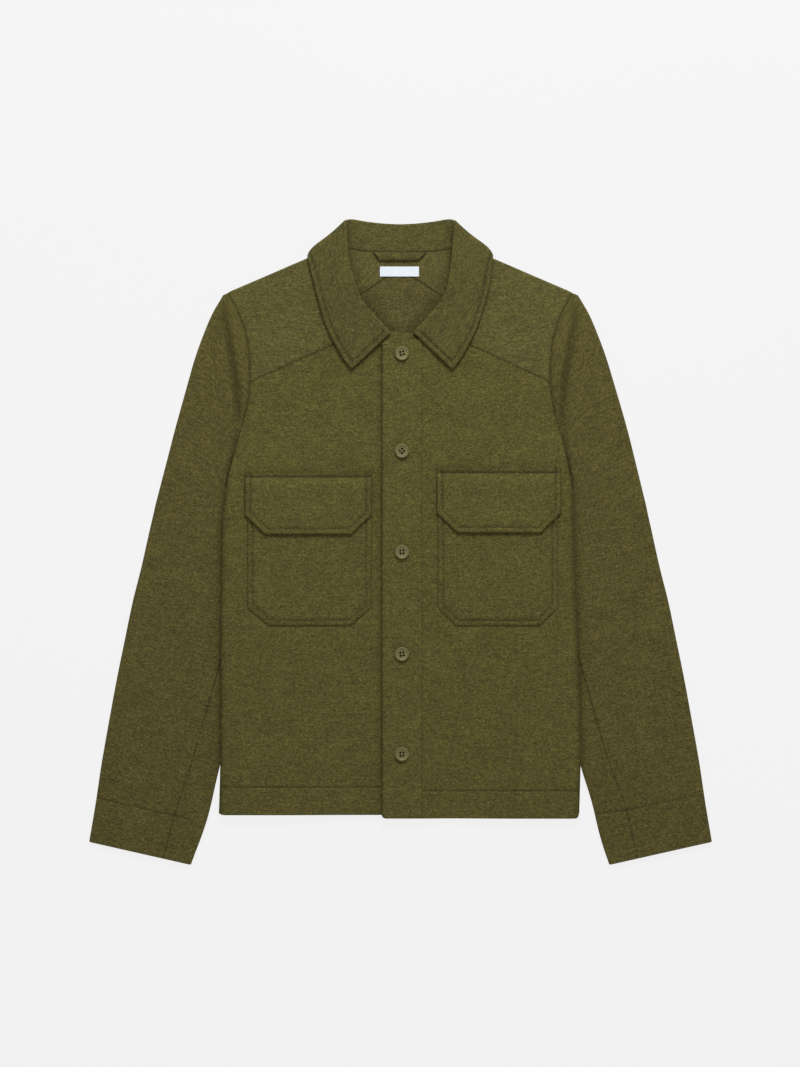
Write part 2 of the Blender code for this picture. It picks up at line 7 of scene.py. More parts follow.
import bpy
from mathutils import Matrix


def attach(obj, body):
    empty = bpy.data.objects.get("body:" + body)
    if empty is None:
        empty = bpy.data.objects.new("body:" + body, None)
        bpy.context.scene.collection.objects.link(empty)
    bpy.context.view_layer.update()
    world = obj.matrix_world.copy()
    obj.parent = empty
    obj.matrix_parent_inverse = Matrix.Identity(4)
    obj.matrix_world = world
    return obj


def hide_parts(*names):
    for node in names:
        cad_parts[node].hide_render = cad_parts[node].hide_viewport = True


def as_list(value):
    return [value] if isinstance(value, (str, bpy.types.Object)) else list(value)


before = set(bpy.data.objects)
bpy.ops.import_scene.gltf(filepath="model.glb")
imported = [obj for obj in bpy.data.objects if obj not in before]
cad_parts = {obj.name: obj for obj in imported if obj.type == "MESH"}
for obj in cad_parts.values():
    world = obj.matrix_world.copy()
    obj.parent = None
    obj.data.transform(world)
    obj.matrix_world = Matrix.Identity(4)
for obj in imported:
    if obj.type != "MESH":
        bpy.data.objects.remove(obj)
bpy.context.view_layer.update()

import math

import bmesh
import bpy
import numpy as np

MM = 0.001
RIGHT = -1
LEFT = 1
chance = np.random.default_rng(11)

# Cloth
CLOTH = 2.0
BAND_CLOTH = 2.6
LABEL_CLOTH = 0.6
SEAM = 0.3
SEWN = 0.25
REST_GAP = 0.5
LAYER_SPACE = 1.4
DOUBLE = 2 * CLOTH + LAYER_SPACE
FOLD_RADIUS = DOUBLE / 2
FOLD_ANGLES = np.radians(np.linspace(78.0, -78.0, 9))
ROLL_ANGLES = np.radians(np.linspace(80.0, -80.0, 11))

# Body
HEM_RIGHT_Y = -332.5
HEM_LEFT_Y = -336.7
HEM_BACK_Y = -331.0
HEM_DEPTH = 34.0
HEM_CORNER = 5.0
HEM_LINE_SHARES = (0.92, 0.96, 1.0)
SIDE_ROLL = 1.6
SIDE_ROLL_REACH = 9.0
CENTRE_FRONT_X = 2.4
LEAN_LOW_Y = 300.0
LEAN_HIGH_Y = 360.0
UNDERLAP_X = 20.0
SIDE_SEAM_REACH = 14.0
SIDE_SEAM_TOP_Y = 60.0
SIDE_SEAM_FULL_Y = 27.0
SIDE_SEAM_OPEN_Y = 125.0
SIDE_SEAM_OPEN_REACH = 60.0
SEAM_DIP = 0.6
SEAM_DIP_WIDTH = 2.2
HEM_SIDE_X = 220.0
BODY_SIDE = [(HEM_SIDE_X, -332.0), (221.0, -240.0), (219.5, -100.0), (217.0, 27.0)]
BACK_YOKE_PEAK = (0.0, 334.0)

# How far each side of the body lies over to the left, from the hem to the armhole, as (y, shift)
SIDE_SHIFT = {
    RIGHT: [(-332, -1.0), (-300, 0.4), (-250, 2.2), (-190, 1.6), (-120, 0.8), (27, 0.0), (80, -0.6),
            (126, 0.0)],
    LEFT: [(-332, -1.3), (-265, -0.3), (-190, -1.0), (-119, -3.0), (-70, -5.0), (-21, -5.8), (27, -5.4),
           (52, -2.6), (80, -0.8), (110, 0.0)],
}
SHIFT_FROM_X = 120.0
SHIFT_FULL_X = 180.0

# Armhole seam from the underarm to the shoulder, with the sleeve's outer edge beside each row
ARMHOLE_COLUMNS = ("seam_x", "seam_y", "outer_x", "outer_y")
ARMHOLE = [
    (217.0, 27.0, 297.0, 54.0),
    (210.0, 77.0, 287.5, 93.0),
    (198.0, 126.0, 276.0, 139.0),
    (187.5, 163.0, 266.3, 173.0),
    (183.0, 196.0, 258.0, 201.0),
    (183.3, 215.0, 252.5, 219.5),
    (187.5, 252.0, 241.0, 251.5),
    (196.5, 279.0, 229.0, 279.5),
    (209.5, 302.7, 216.5, 301.0),
]
ARMHOLE_STEPS = 8
FRONT_YOKE_ROW = 4
BACK_YOKE_ROW = 5

# Lift of the body over the sleeves tucked under its sides
TUCK_LIFT = DOUBLE + 0.6
TUCK_FLAT_X = 55.0
TUCK_FULL_X = 150.0
TUCK_TOP_Y = 140.0
TUCK_FULL_TOP_Y = 25.0
TUCK_FULL_LOW_Y = -285.0
TUCK_LOW_Y = -340.0
TUCK_LOW_SHARE = 0.75

# Lift of the neck over the back of the collar, which lies under it
COLLAR_LIFT = CLOTH + SEAM
COLLAR_LIFT_LOW_Y = 280.0
COLLAR_LIFT_HIGH_Y = 316.0
COLLAR_LIFT_FULL_X = 116.0
COLLAR_LIFT_END_X = 170.0

# Front band
BAND_LEFT_EDGE_X = -22.4
BAND_SEAM_X = 27.0
BAND_TOP_LOW_Y = 244.9
BAND_TOP_HIGH_Y = 249.6
BAND_LIFT_REACH = 35.0
BAND_LIFT_LOW_Y = 265.0
BAND_LIFT_HIGH_Y = 315.0

# Neckline, from the front throat over the shoulder to the centre back
YOKE_NECK = (35.0, 263.3)
NECK_FRONT = [YOKE_NECK, (57.0, 292.0), (68.0, 321.0), (74.0, 345.0), (77.0, 359.5)]
NECK_BACK = [(77.0, 359.5), (70.0, 359.4), (45.0, 355.5), (22.0, 354.2), (0.0, 353.8)]
UNDERLAP_TOP_Y = 244.5
THROAT_RIGHT = [(-UNDERLAP_X, UNDERLAP_TOP_Y), (CENTRE_FRONT_X, UNDERLAP_TOP_Y),
                (17.0, 247.4), (32.6, 263.3 + SEWN)]
THROAT_LEFT = [(BAND_SEAM_X - SEWN, 252.8), (37.4, 263.3 + SEWN)]
SHOULDER_NORMAL = (0.41, 0.912)

# Sleeve sections from the cuff to the underarm; seam is the front seam's share of the width
SLEEVE_COLUMNS = ("outer_x", "outer_y", "inner_x", "inner_y", "seam")
SLEEVE_ROWS = [
    (379.5, -365.4, 255.4, -393.5, 0.27),
    (371.5, -318.0, 236.0, -340.0, 0.29),
    (364.0, -268.0, 223.5, -288.0, 0.25),
    (355.0, -217.0, 211.0, -236.0, 0.225),
    (346.0, -168.0, 199.0, -185.0, 0.205),
    (336.0, -119.0, 186.0, -133.0, 0.19),
    (326.0, -71.0, 174.0, -82.0, 0.18),
    (315.0, -27.0, 165.0, -34.0, 0.17),
    (306.0, 14.0, 168.0, -3.0, 0.15),
    (301.5, 34.0, 187.0, 13.0, 0.11),
    (299.0, 46.0, 206.0, 22.0, 0.08),
]

# Each sleeve's own lie: the tuck under the body at the underarm, and the outer and inner edges
UNDERARM_TUCK = 24.0
TUCK_SPAN = [(-15.0, 10.0), (45.0, 67.0)]
ARMHOLE_SHIFT_SPAN = (-40.0, 0.0)
LEFT_OUTER_SHIFT = 1.3
LEFT_CUFF_BOW = (4.2, -325.0, 38.0)
RIGHT_ELBOW_BOW = (1.6, 135.0, 80.0)
CAP_TIP_ANGLES = np.radians((25.0, 45.0, 62.0, 75.0, 84.0))
CAP_TIP_LEAN = 0.15
CAP_SEAM_SPAN = (120.0, 170.0)
CUFF_SEAM_SPAN = (-310.0, -160.0)
SLEEVE_SEAM_SHARES = (0.3, 0.3, 0.4)
SLEEVE_STEPS = 8
BELOW_EASE = 0.8
SEAM_CLEAR = 5.0
FOLD_CLEAR = 10.0
CUFF_NAP_AND_SHADE = {RIGHT: 0.25, LEFT: 0.42}
CUFF_LINES = {RIGHT: [(368.0, -312.0), (258.0, -338.0)],
              LEFT: [(370.0, -306.0), (276.0, -327.0), (240.0, -331.0)]}

# Collar sections from the throat to the centre back; turn is the way the fall lies from the stand
COLLAR_COLUMNS = ("neck_x", "neck_y", "fold_x", "fold_y", "edge_x", "edge_y", "turn", "rise")
COLLAR_ROWS = [
    (20.0, 250.2, 13.0, 256.0, 61.6, 210.4, 90, 1.0),
    (29.0, 258.0, 22.0, 265.5, 70.5, 222.5, 90, 2.4),
    (38.0, 266.6, 32.0, 276.0, 79.0, 236.0, 90, 3.4),
    (57.0, 292.0, 50.0, 299.0, 92.5, 264.0, 90, 4.8),
    (68.0, 321.0, 58.0, 324.5, 104.0, 301.0, 90, 5.4),
    (74.0, 345.0, 63.4, 356.0, 110.5, 332.0, 90, 4.8),
    (76.2, 355.0, 65.2, 379.0, 112.5, 343.5, 90, 3.0),
    (77.0, 359.5, 64.8, 388.2, 111.4, 345.4, 60, 1.6),
    (77.0, 359.5, 64.4, 388.0, 110.6, 345.0, 30, 0.8),
    (77.0, 359.5, 64.6, 388.9, 110.0, 345.2, 0, 0.3),
    (77.0, 359.5, 64.2, 390.6, 109.6, 346.0, -30, 0.0),
    (76.0, 359.5, 62.6, 392.7, 107.0, 346.6, -60, 0.0),
    (73.0, 359.6, 58.8, 394.6, 102.0, 346.5, -90, 0.0),
    (45.0, 355.5, 38.0, 391.4, 62.0, 341.5, -90, 0.0),
    (22.0, 354.2, 19.0, 389.4, 31.0, 339.0, -90, 0.0),
    (0.0, 353.8, 0.0, 388.5, 0.0, 338.5, -90, 0.0),
]
COLLAR_FOLD_NORMAL = (0.70, 0.714)
COLLAR_FOLD_Z = 5.7
COLLAR_CORNER_SPANS = [(340.0, 380.0), (40.0, 60.0)]
COLLAR_FRONT_TURN = (60.0, 85.0)
COLLAR_SEWN_TURN = 75.0
COLLAR_SEWN_FROM = 4
COLLAR_END_MARK = 9.5
COLLAR_CROWDED = 12
STAND_END_GRID = (12.0, 1.2)
COLLAR_ROLL_REACH = 6.0
COLLAR_WELT = 0.7
STAND_WIDTH = 18.0
FALL_WIDTH = 62.0
STAND_HALF = 2.2
FALL_HALF = 4.7
FALL_ROUNDING = 1.5
FLOOR_GAP = 0.02
EDGE_LIFT = 2.4
COLLAR_BULGE = 36.0
STAND_END_LOW = [(-31.0, 241.0, 7.0), (-12.0, 242.2, 7.6)]
STAND_END_HIGH = [(-25.0, 249.8, 5.4), (-11.5, 256.2, 6.0)]

# Pockets and flaps, with their lower corners cut off
POCKET_COLUMNS = ("name", "low_x", "high_x", "top_y", "corner_y", "bottom_y", "cut", "layer")
POCKET_ROWS = [
    ("pocket_right", -186.3, -34.6, 72.0, -80.0, -102.2, 26.0, 1),
    ("flap_right", -188.9, -34.6, 86.5, 33.6, 9.8, 25.0, 2),
    ("pocket_left", 46.0, 192.4, 76.0, -80.0, -102.2, 22.0, 1),
    ("flap_left", 44.9, 196.3, 91.7, 36.4, 11.7, 25.0, 2),
]
PRESS_DEPTH = 1.1
PRESS_REACH = 9.0
POCKET_SINK = 2.4
SINK_REACH = 12.0
FLAP_SEAT = 3.6
FLAP_SEAT_REACH = 15.0
FLAP_SIDE_SINK = 1.8
FLAP_LIFT = 1.2
FLAP_LIFT_REACH = 32.0
FLAP_SWELL = 0.8
FLAP_SWELL_DROP = 16.0
FLAP_SWELL_REACH = 11.0
FLAP_SWELL_TAPER = 1.9
FLAP_LINE_INSET = 2.0
FLAP_SEAT_FLAT = 3.0
HIDDEN_TOP = 40.0

# Buttons
BUTTON_Y = [230.6, 111.6, -11.6, -136.0, -258.0]
BUTTON_TURN = [12.0, 41.0, 3.0, 8.0, 5.0]
BUTTON_RADIUS = 8.65
HOLE_RADIUS = 1.35
HOLE_SPACING = 3.7
RIM_WIDTH = 1.15
RIM_HEIGHT = 1.3
RIM_MIDDLE = 1.9
RIM_ANGLES = np.radians(np.linspace(130.0, -60.0, 15))

# Profiles of a button, a hole and the thread in it, as (radius, height)
BUTTON_DISH = [(0.0, 2.25), (1.6, 2.23), (3.4, 2.2), (4.8, 2.22), (5.8, 2.36), (6.4, 2.62)]
BUTTON_BACK = [(BUTTON_RADIUS - 1.6, 0.1), (4.0, 0.0), (0.0, 0.0)]
HOLE = [(0.0, -2.0), (HOLE_RADIUS, -2.0), (HOLE_RADIUS, 1.8), (HOLE_RADIUS * 1.02, 2.05),
        (HOLE_RADIUS * 1.35, 2.4), (0.0, 2.5)]
HOLE_THREAD = [(0.0, 0.35), (0.55, 0.3), (0.8, 0.1), (0.8, -0.25), (0.0, -0.25)]

# Hanger loop and bare label inside the back neck
LOOP_TOP = [(-33.5, 354.7), (33.0, 354.7)]
LOOP_LOW = [(-25.0, 343.8), (22.8, 343.8)]
LOOP_LIFT = 1.0
LOOP_SWELL = 1.3
LABEL_LOW = (-24.6, 324.4)
LABEL_HIGH = (23.2, 336.7)

# Cut of what shows of each sheet of cloth, in metres and square metres, and what it lies on
SHEET_COLUMNS = ("width", "length", "area", "held", "rests_on")
SHEETS = {
    "back": (0.442, 0.666, 0.255, "laid", ["sleeve_top_right", "sleeve_top_left"]),
    "front_right": (0.243, 0.597, 0.132, "laid", ["back"]),
    "front_left": (0.194, 0.602, 0.105, "laid", ["back", "front_right"]),
    "placket": (0.0495, 0.5865, 0.0289, "laid", ["front_right"]),
    "yoke": (0.442, 0.282, 0.060, "folded", ["collar", "floor"]),
    "sleeve_top_right": (0.256, 0.730, 0.131, "folded", ["floor"]),
    "sleeve_top_left": (0.258, 0.730, 0.132, "folded", ["floor"]),
    "sleeve_under_right": (0.083, 0.450, 0.026, "folded", ["floor"]),
    "sleeve_under_left": (0.083, 0.450, 0.026, "folded", ["floor"]),
    "collar": (0.550, 0.104, 0.037, "folded", ["floor", "yoke", "front_right", "front_left"]),
    "pocket_right": (0.152, 0.174, 0.0257, "laid", ["front_right"]),
    "pocket_left": (0.147, 0.178, 0.0255, "laid", ["front_left"]),
    "flap_right": (0.155, 0.077, 0.0113, "laid", ["pocket_right"]),
    "flap_left": (0.152, 0.080, 0.0115, "laid", ["pocket_left"]),
    "hanger_loop": (0.067, 0.0113, 0.00068, "laid", ["back", "yoke"]),
    "label": (0.048, 0.0124, 0.00059, "laid", ["yoke"]),
}

# Stitching and the welts that it draws in along the edges
STITCH_PITCH = 3.3
STITCH_LENGTH = 2.5
STITCH_RADIUS = 0.28
STITCH_TAPER = [0.35, 0.9, 1.0, 0.9, 0.35]
STITCH_ARCH = 0.16
STITCH_SLANT = 0.03
STITCH_UNEVEN = (0.9, 1.08)
SEWN_STEP = 1.1
HEM_STITCH_START = {RIGHT: 24.0, LEFT: 30.5}
HEM_STITCH_END = 218.0
EDGE_INSET = 6.6
FLAP_TOP_INSET = 6.2
WELT_FULLNESS = 0.8
GROOVE_DEPTH = 0.95
GROOVE_WIDTH = 1.25
HEM_GROOVE = 0.6
HEM_THICKER = 0.35
HEM_STEP = 2.0
POCKET_WELT = 0.5
FLAP_GROOVE = (1.5, 1.6)
THREAD_SINK = 0.45
BAND_EDGE_SWELL = 0.9
BAND_SWELL_REACH = 12.0
BUTTON_DIMPLE = 0.45
BUTTON_DIMPLE_REACH = 9.0

# Rounding of each kind of edge, as a multiple of its piece's own radius
SEAM_EDGE = 1.7
BACK_SEAM_EDGE = 2.0
NECK_EDGE = 1.6
COLLAR_SEAM_EDGE = 1.8
HEM_EDGE = 1.2
BAND_EDGE = 0.35
BESIDE_BAND_EDGE = 0.45
FRONT_SIDE_SOFT = 4.3
BACK_SIDE_SOFT = 7.0

# Radius of pieces' edges, above or as (above, beneath)
FLAT_BENEATH = 0.25
BAND_ROUNDING = 1.5
FLAP_ROUNDING = (1.4, 1.4)
POCKET_ROUNDING = (3.0, SINK_REACH)
LOOP_ROUNDING = 1.4
LABEL_ROUNDING = 0.3

# Distance between grid lines, across and along each kind of piece, and the finer one near its lines
GRID = {"back": (7.0, 8.0), "front": (3.4, 3.4), "band": (3.0, 3.2), "yoke": (3.2, 3.2),
        "top": (3.6, 3.8), "under": (3.6, 5.0), "collar": (2.6, 3.6), "pocket": (3.0, 3.0),
        "loop": (1.6, 0.8), "label": (1.6, 1.0)}
FINE = {"fine": 0.6, "reach": 2.6}
CUFF_MARKS = [49.0, 52.0, 55.0, 58.0]
SLEEVE_WIDTH = {"top": 130.0, "under": 34.0}
SLEEVE_LINES_BELOW = {"top": 14, "under": 5}
LOOP_SIZE = (60.0, 12.0)
LABEL_SIZE = (47.8, 12.3)
LABEL_FINE = {"fine": 0.2, "reach": 0.8}
LOOP_FINE = 0.3
FALL_FINE = {"fine": 0.5, "reach": 2.6}
THROAT_FINE = {"fine": 0.5, "reach": 3.4}

# Soft troughs (negative) and ridges of the laid cloth, each along a path in plan
CREASE_COLUMNS = ("piece", "path", "width", "height")
CREASE_END = 0.12
DEEP_CREASE = -1.0
CREASES = [
    ("sleeve_top_right", [(-214, 288), (-213, 266), (-208, 238), (-203.5, 206), (-199, 174), (-197, 144),
                          (-200, 112)], 4.6, -4.6),
    ("sleeve_top_right", [(-210, 280), (-206, 240), (-200, 200), (-197, 160), (-200, 118)], 20.0, 3.7),
    ("sleeve_top_left", [(215, 286), (212, 260), (206.5, 230), (202.5, 202), (198.5, 172), (197, 142),
                         (200, 112)], 4.4, -4.4),
    ("sleeve_top_left", [(209, 278), (205, 240), (200, 200), (197, 160), (200, 118)], 19.0, 3.5),
    ("sleeve_top_left", [(272, 22), (279, -28), (284, -84)], 13.0, -0.35),
    ("sleeve_top_left", [(246, 118), (262, 60), (270, 25)], 16.0, 0.3),
    ("sleeve_top_right", [(-262, 92), (-276, 20), (-287, -62)], 17.0, 0.35),
    ("sleeve_top_right", [(-318, -180), (-331, -252)], 15.0, -0.3),
    ("sleeve_top_left", [(316, -150), (330, -228), (338, -262)], 14.0, -0.3),
    ("front_right", [(-196, 132), (-176, 112), (-148, 103)], 9.0, 0.4),
    ("front_right", [(-183, 106), (-150, 96)], 6.0, -0.35),
    ("front_right", [(-120, -150), (-96, -222), (-90, -262)], 20.0, -0.35),
    ("front_left", [(182, 128), (160, 112)], 9.0, 0.3),
    ("front_left", [(96, -140), (120, -206)], 22.0, 0.3),
    ("front_left", [(150, -230), (166, -282)], 16.0, -0.3),
    ("yoke", [(-120, 262), (-152, 236)], 18.0, 0.3),
    ("yoke", [(118, 284), (160, 262)], 16.0, 0.3),
]

# Darkening of the cloth's colour. Along seams, stitch lines and hems it is partly nap pressed down and
# partly painted shade. In creases, beside the body's edges over the sleeves, beside the front band and
# beside the collar's roll it is painted shade and painted shadow. Its share, and its width there
NAP_AND_PAINTED_SHADE = 0.55
SEAM_NAP_AND_SHADE = 0.75
SEAM_NAP_AND_SHADE_WIDTH = 1.8
SIDE_PAINTED_SHADE_SPREAD = 2.4
STITCH_NAP_AND_SHADE = 0.6
STITCH_NAP_AND_SHADE_WIDTH = 1.3
HEM_NAP_AND_SHADE = 0.38
POCKET_NAP_AND_SHADE = 0.7
CREASE_PAINTED_SHADE = 0.17
CONTACT_PAINTED_SHADOW = 0.7
CONTACT_SHADOW_WIDTH = 5.0
BAND_EDGE_PAINTED_SHADE = (0.6, 2.4)
BESIDE_BAND_PAINTED_SHADOW = (0.4, 5.0)
ROLL_PAINTED_SHADOW = 0.6
ROLL_WIDTH = 8.0
POCKET_STITCH_WIDTH = 1.4
POCKET_EDGE_WIDTH = 1.6
STAND_NAP_AND_SHADE_WIDTH = 2.2
STAND_SHADE_REACH = 4.0
LOOP_NAP_AND_SHADE_WIDTH = 1.6
ROLL_LINE = [(68, 380), (66.6, 371), (64, 341), (57, 319), (48.6, 300), (31.5, 278), (11, 257)]

# Place of each piece in the cloth's pattern, in steps along it
GRAIN_STEP = 137.3
GRAIN_LEVEL = 1.0
GRAIN = {"back": 1.0, "front": 2.0, "band": 5.0, "yoke": 8.0, "sleeve": 11.0, "collar": 14.0, "stand": 15.0,
         "pocket": 20.0, "loop": 30.0, "label": 31.0}

# Colours, 0 to 255
# The wool is one cloth, toned a little differently on each piece, the yoke lightest and the collar darkest:
# painted light and shade.
WOOL = {"back": (83, 77, 42.5), "front": (85, 79.5, 41.2), "band": (86, 80.5, 42),
        "yoke": (87, 81.5, 45), "sleeve": (83, 76.8, 41), "collar": (82, 76.8, 41.3),
        "pocket": (85, 79.6, 41.5)}
THREAD = (58, 52, 23)
BUTTON_KHAKI = (108, 103, 63)
LABEL_WHITE = (228, 234, 241)

# Camera: the length of the picture's long side on the ground, and its middle there
FIELD_LONG = 1301.7
FIELD_MIDDLE_Y = 10.98
CAMERA_HEIGHT = 4000.0
SENSOR = 36.0

# Studio: a soft light towards the top of the picture, an even dome and a pale ground that glows a little
KEY_PLACE = (0.25, 2.0, 1.6)
KEY_SIZE = (1.0, 0.85)
KEY_POWER = 51.0
DOME = 0.5
FLOOR_HALF = 6.0
FLOOR_Z = -0.0003
FLOOR_GLOW = 0.83


def smooth(value):
    """Ease from 0 to 1."""
    share = np.clip(value, 0.0, 1.0)
    return share * share * (3.0 - 2.0 * share)


def unit(vector):
    vector = np.asarray(vector, float)
    return vector / np.linalg.norm(vector)


def along_line(points):
    """Length along a line up to each of its points."""
    spans = np.linalg.norm(np.diff(np.asarray(points, float), axis=0), axis=1)
    return np.concatenate(([0.0], np.cumsum(spans)))


def curve(points, steps):
    """Smooth line through a table's rows, with the given number of steps between rows."""
    knots = np.asarray(points, float)
    place = along_line(knots)
    slopes = np.gradient(knots, place, axis=0)
    made = []
    for i, span in enumerate(np.diff(place)):
        for t in np.arange(steps) / steps:
            near = (1 + 2 * t) * (1 - t) ** 2 * knots[i] + t * (1 - t) ** 2 * span * slopes[i]
            far = t * t * (3 - 2 * t) * knots[i + 1] + t * t * (t - 1) * span * slopes[i + 1]
            made.append(near + far)
    return np.array(made + [knots[-1]])


def length_of(points):
    return along_line(points)[-1]


def walk(points, shares):
    """Points at the given shares of a line's length."""
    place = along_line(points)
    columns = np.asarray(points, float).T
    return np.stack([np.interp(np.asarray(shares) * place[-1], place, column) for column in columns], axis=1)


def spread(length, coarse, marks=(), fine=0.45, reach=2.2):
    """Shares along an edge, closer together at its ends and near the given distances."""
    place = np.linspace(0.0, length, 4001)
    dense = np.full_like(place, 1.0 / coarse)
    for mark in (0.0, length, *marks):
        dense = np.maximum(dense, np.exp(-((place - mark) / reach) ** 2) / fine)
    total = np.concatenate(([0.0], np.cumsum((dense[1:] + dense[:-1]) / 2 * np.diff(place))))
    count = int(math.ceil(total[-1]))
    return np.interp(np.linspace(0.0, total[-1], count + 1), total, place) / length


def patch(low, high, start, end, u, v):
    """Grid of plan points between four edges, at the shares u across and v up."""
    low, high, start, end = walk(low, u), walk(high, u), walk(start, v), walk(end, v)
    u = u[None, :, None]
    v = v[:, None, None]
    across = (1 - u) * start[:, None] + u * end[:, None]
    upward = (1 - v) * low[None, :] + v * high[None, :]
    corners = (1 - v) * ((1 - u) * low[0] + u * low[-1]) + v * ((1 - u) * high[0] + u * high[-1])
    return across + upward - corners


def strip_between(low, high, u, v):
    """Grid of plan points between two edges, with straight ends."""
    return patch(low, high, [low[0], high[0]], [low[-1], high[-1]], u, v)


def between(value, span):
    """Ease from 0 to 1 over a span of values."""
    return smooth((value - span[0]) / (span[1] - span[0]))


def bell(value, width):
    """Share that falls off softly on both sides of zero."""
    return np.exp(-(value / width) ** 2)


def lean(points, side):
    """Front of the neck on one half, moved over with the line of the buttons."""
    moved = np.array(points, float)
    share = 1 - smooth((moved[..., 1] - LEAN_LOW_Y) / (LEAN_HIGH_Y - LEAN_LOW_Y))
    moved[..., 0] += side * CENTRE_FRONT_X * share
    return moved


def mirrored(points, side):
    turned = np.array(points, float)
    turned[..., 0] *= side
    return turned


def armhole_line(*columns):
    """Smooth line through the named columns of the armhole table."""
    at = [ARMHOLE_COLUMNS.index(column) for column in columns]
    return curve([[row[i] for i in at] for row in ARMHOLE], ARMHOLE_STEPS)


def armhole(first=0, last=len(ARMHOLE) - 1):
    """Points of the armhole seam between two of its rows."""
    return armhole_line("seam_x", "seam_y")[first * ARMHOLE_STEPS:last * ARMHOLE_STEPS + 1]


def base_height(x, y):
    """Height of the body's underside above the floor."""
    rising = smooth((TUCK_TOP_Y - y) / (TUCK_TOP_Y - TUCK_FULL_TOP_Y))
    falling = smooth((y - TUCK_LOW_Y) / (TUCK_FULL_LOW_Y - TUCK_LOW_Y))
    share = rising * (TUCK_LOW_SHARE + (1 - TUCK_LOW_SHARE) * falling)
    tuck = TUCK_LIFT * share * smooth((abs(x) - TUCK_FLAT_X) / (TUCK_FULL_X - TUCK_FLAT_X))
    upward = smooth((y - COLLAR_LIFT_LOW_Y) / (COLLAR_LIFT_HIGH_Y - COLLAR_LIFT_LOW_Y))
    outward = smooth((abs(x) - COLLAR_LIFT_FULL_X) / (COLLAR_LIFT_END_X - COLLAR_LIFT_FULL_X))
    return tuck + COLLAR_LIFT * upward * (1 - outward)


def side_x(y):
    return np.interp(y, [row[1] for row in BODY_SIDE], [row[0] for row in BODY_SIDE])


def front_height(x, y, side):
    """Height of the outer face of the front layer, on the given side of the buttons."""
    height = base_height(x, y) + DOUBLE
    under_arm = smooth((SIDE_SEAM_TOP_Y - y) / (SIDE_SEAM_TOP_Y - SIDE_SEAM_FULL_Y))
    near_side = smooth((abs(x) - side_x(y) + SIDE_SEAM_REACH) / SIDE_SEAM_REACH)
    height = height - (LAYER_SPACE - REST_GAP) * under_arm * near_side
    if side == LEFT:
        beside_band = smooth((BAND_SEAM_X + BAND_LIFT_REACH - x) / BAND_LIFT_REACH)
        below_neck = smooth((BAND_LIFT_HIGH_Y - y) / (BAND_LIFT_HIGH_Y - BAND_LIFT_LOW_Y))
        height = height + (CLOTH + SEAM) * beside_band * below_neck
    return height


def band_height(x, y):
    """Height of the outer face of the front band, over the underlap."""
    return base_height(x, y) + DOUBLE + SEAM + BAND_CLOTH


def inside_height(x, y):
    """Height of the back's inner face, which shows in the neck."""
    return base_height(x, y) + CLOTH


def raised(plan, height):
    return np.dstack((plan, height(plan[..., 0], plan[..., 1])))


def apart(plan, points):
    """Distance in plan from each point of a grid to a line."""
    best = np.full(plan.shape[:-1], np.inf)
    for a, b in zip(np.asarray(points, float)[:-1], np.asarray(points, float)[1:]):
        share = np.clip(((plan - a) @ (b - a)) / ((b - a) @ (b - a)), 0.0, 1.0)
        best = np.minimum(best, np.linalg.norm(plan - a - share[..., None] * (b - a), axis=-1))
    return best


def outside(plan, corners):
    """Distance in plan beyond a convex outline given anticlockwise, negative inside it."""
    corners = np.asarray(corners, float)
    along = np.roll(corners, -1, axis=0) - corners
    out = np.column_stack((along[:, 1], -along[:, 0])) / np.linalg.norm(along, axis=1)[:, None]
    return np.max([(plan - corner) @ way for corner, way in zip(corners, out)], axis=0)


def creased(name, plan, highest=math.inf):
    """Height of the soft troughs and ridges of one piece, up to a height, at points in plan."""
    height = np.zeros(plan.shape[:-1])
    for row in CREASES:
        values = dict(zip(CREASE_COLUMNS, row))
        if values["piece"] != name or values["height"] > highest:
            continue
        path = curve(values["path"], 6)
        nearest = np.argmin(np.linalg.norm(plan[..., None, :] - path, axis=-1), axis=-1)
        share = CREASE_END + (1 - 2 * CREASE_END) * nearest / (len(path) - 1)
        height += values["height"] * np.sin(math.pi * share) * bell(apart(plan, path), values["width"])
    return height


def groove(away, depth=GROOVE_DEPTH, width=GROOVE_WIDTH):
    """Soft channel along a line of stitches."""
    return -depth * bell(away, width)


def pressed_nap_and_shade(away, share, width=SEAM_NAP_AND_SHADE_WIDTH):
    """Share of darkened colour beside a line: pressed nap and painted shade."""
    return share * bell(away, width)


def roll_painted_shadow(plan):
    """Share of painted shadow beside the collar's roll."""
    line = np.array(ROLL_LINE, float)
    away = np.minimum(apart(plan, line), apart(plan, mirrored(line, -1)))
    return pressed_nap_and_shade(away, ROLL_PAINTED_SHADOW, ROLL_WIDTH)


def welt(away, height):
    """Swollen edge between a free edge and the stitches that run beside it."""
    inside = np.clip(away / EDGE_INSET, 0.0, 1.0)
    return height * np.sin(math.pi * inside) ** WELT_FULLNESS + groove(away - EDGE_INSET)


def reach(grid, axis, back=False):
    """Length along a grid's lines from their first or last point."""
    steps = np.linalg.norm(np.diff(grid, axis=axis), axis=2)
    along = np.cumsum(steps, axis=axis)
    along = np.concatenate((np.zeros_like(np.take(along, [0], axis)), along), axis=axis)
    return np.take(along, [-1], axis) - along if back else along


def edge_distance(grid, low=1.0, high=1.0, start=1.0, end=1.0):
    """Distance of each point of a grid from its nearest edge, over each edge's share of rounding."""
    found = np.full(grid.shape[:2], np.inf)
    for share, axis, back in ((low, 0, False), (high, 0, True), (start, 1, False), (end, 1, True)):
        if np.any(share):
            found = np.minimum(found, reach(grid, axis, back) / share)
    return found


def facing(grid, up):
    """Unit normals of a grid, on the side that looks up at the given point."""
    normal = np.cross(np.gradient(grid, axis=1), np.gradient(grid, axis=0))
    normal /= np.linalg.norm(normal, axis=2)[..., None]
    return normal * np.sign(normal[up][2])


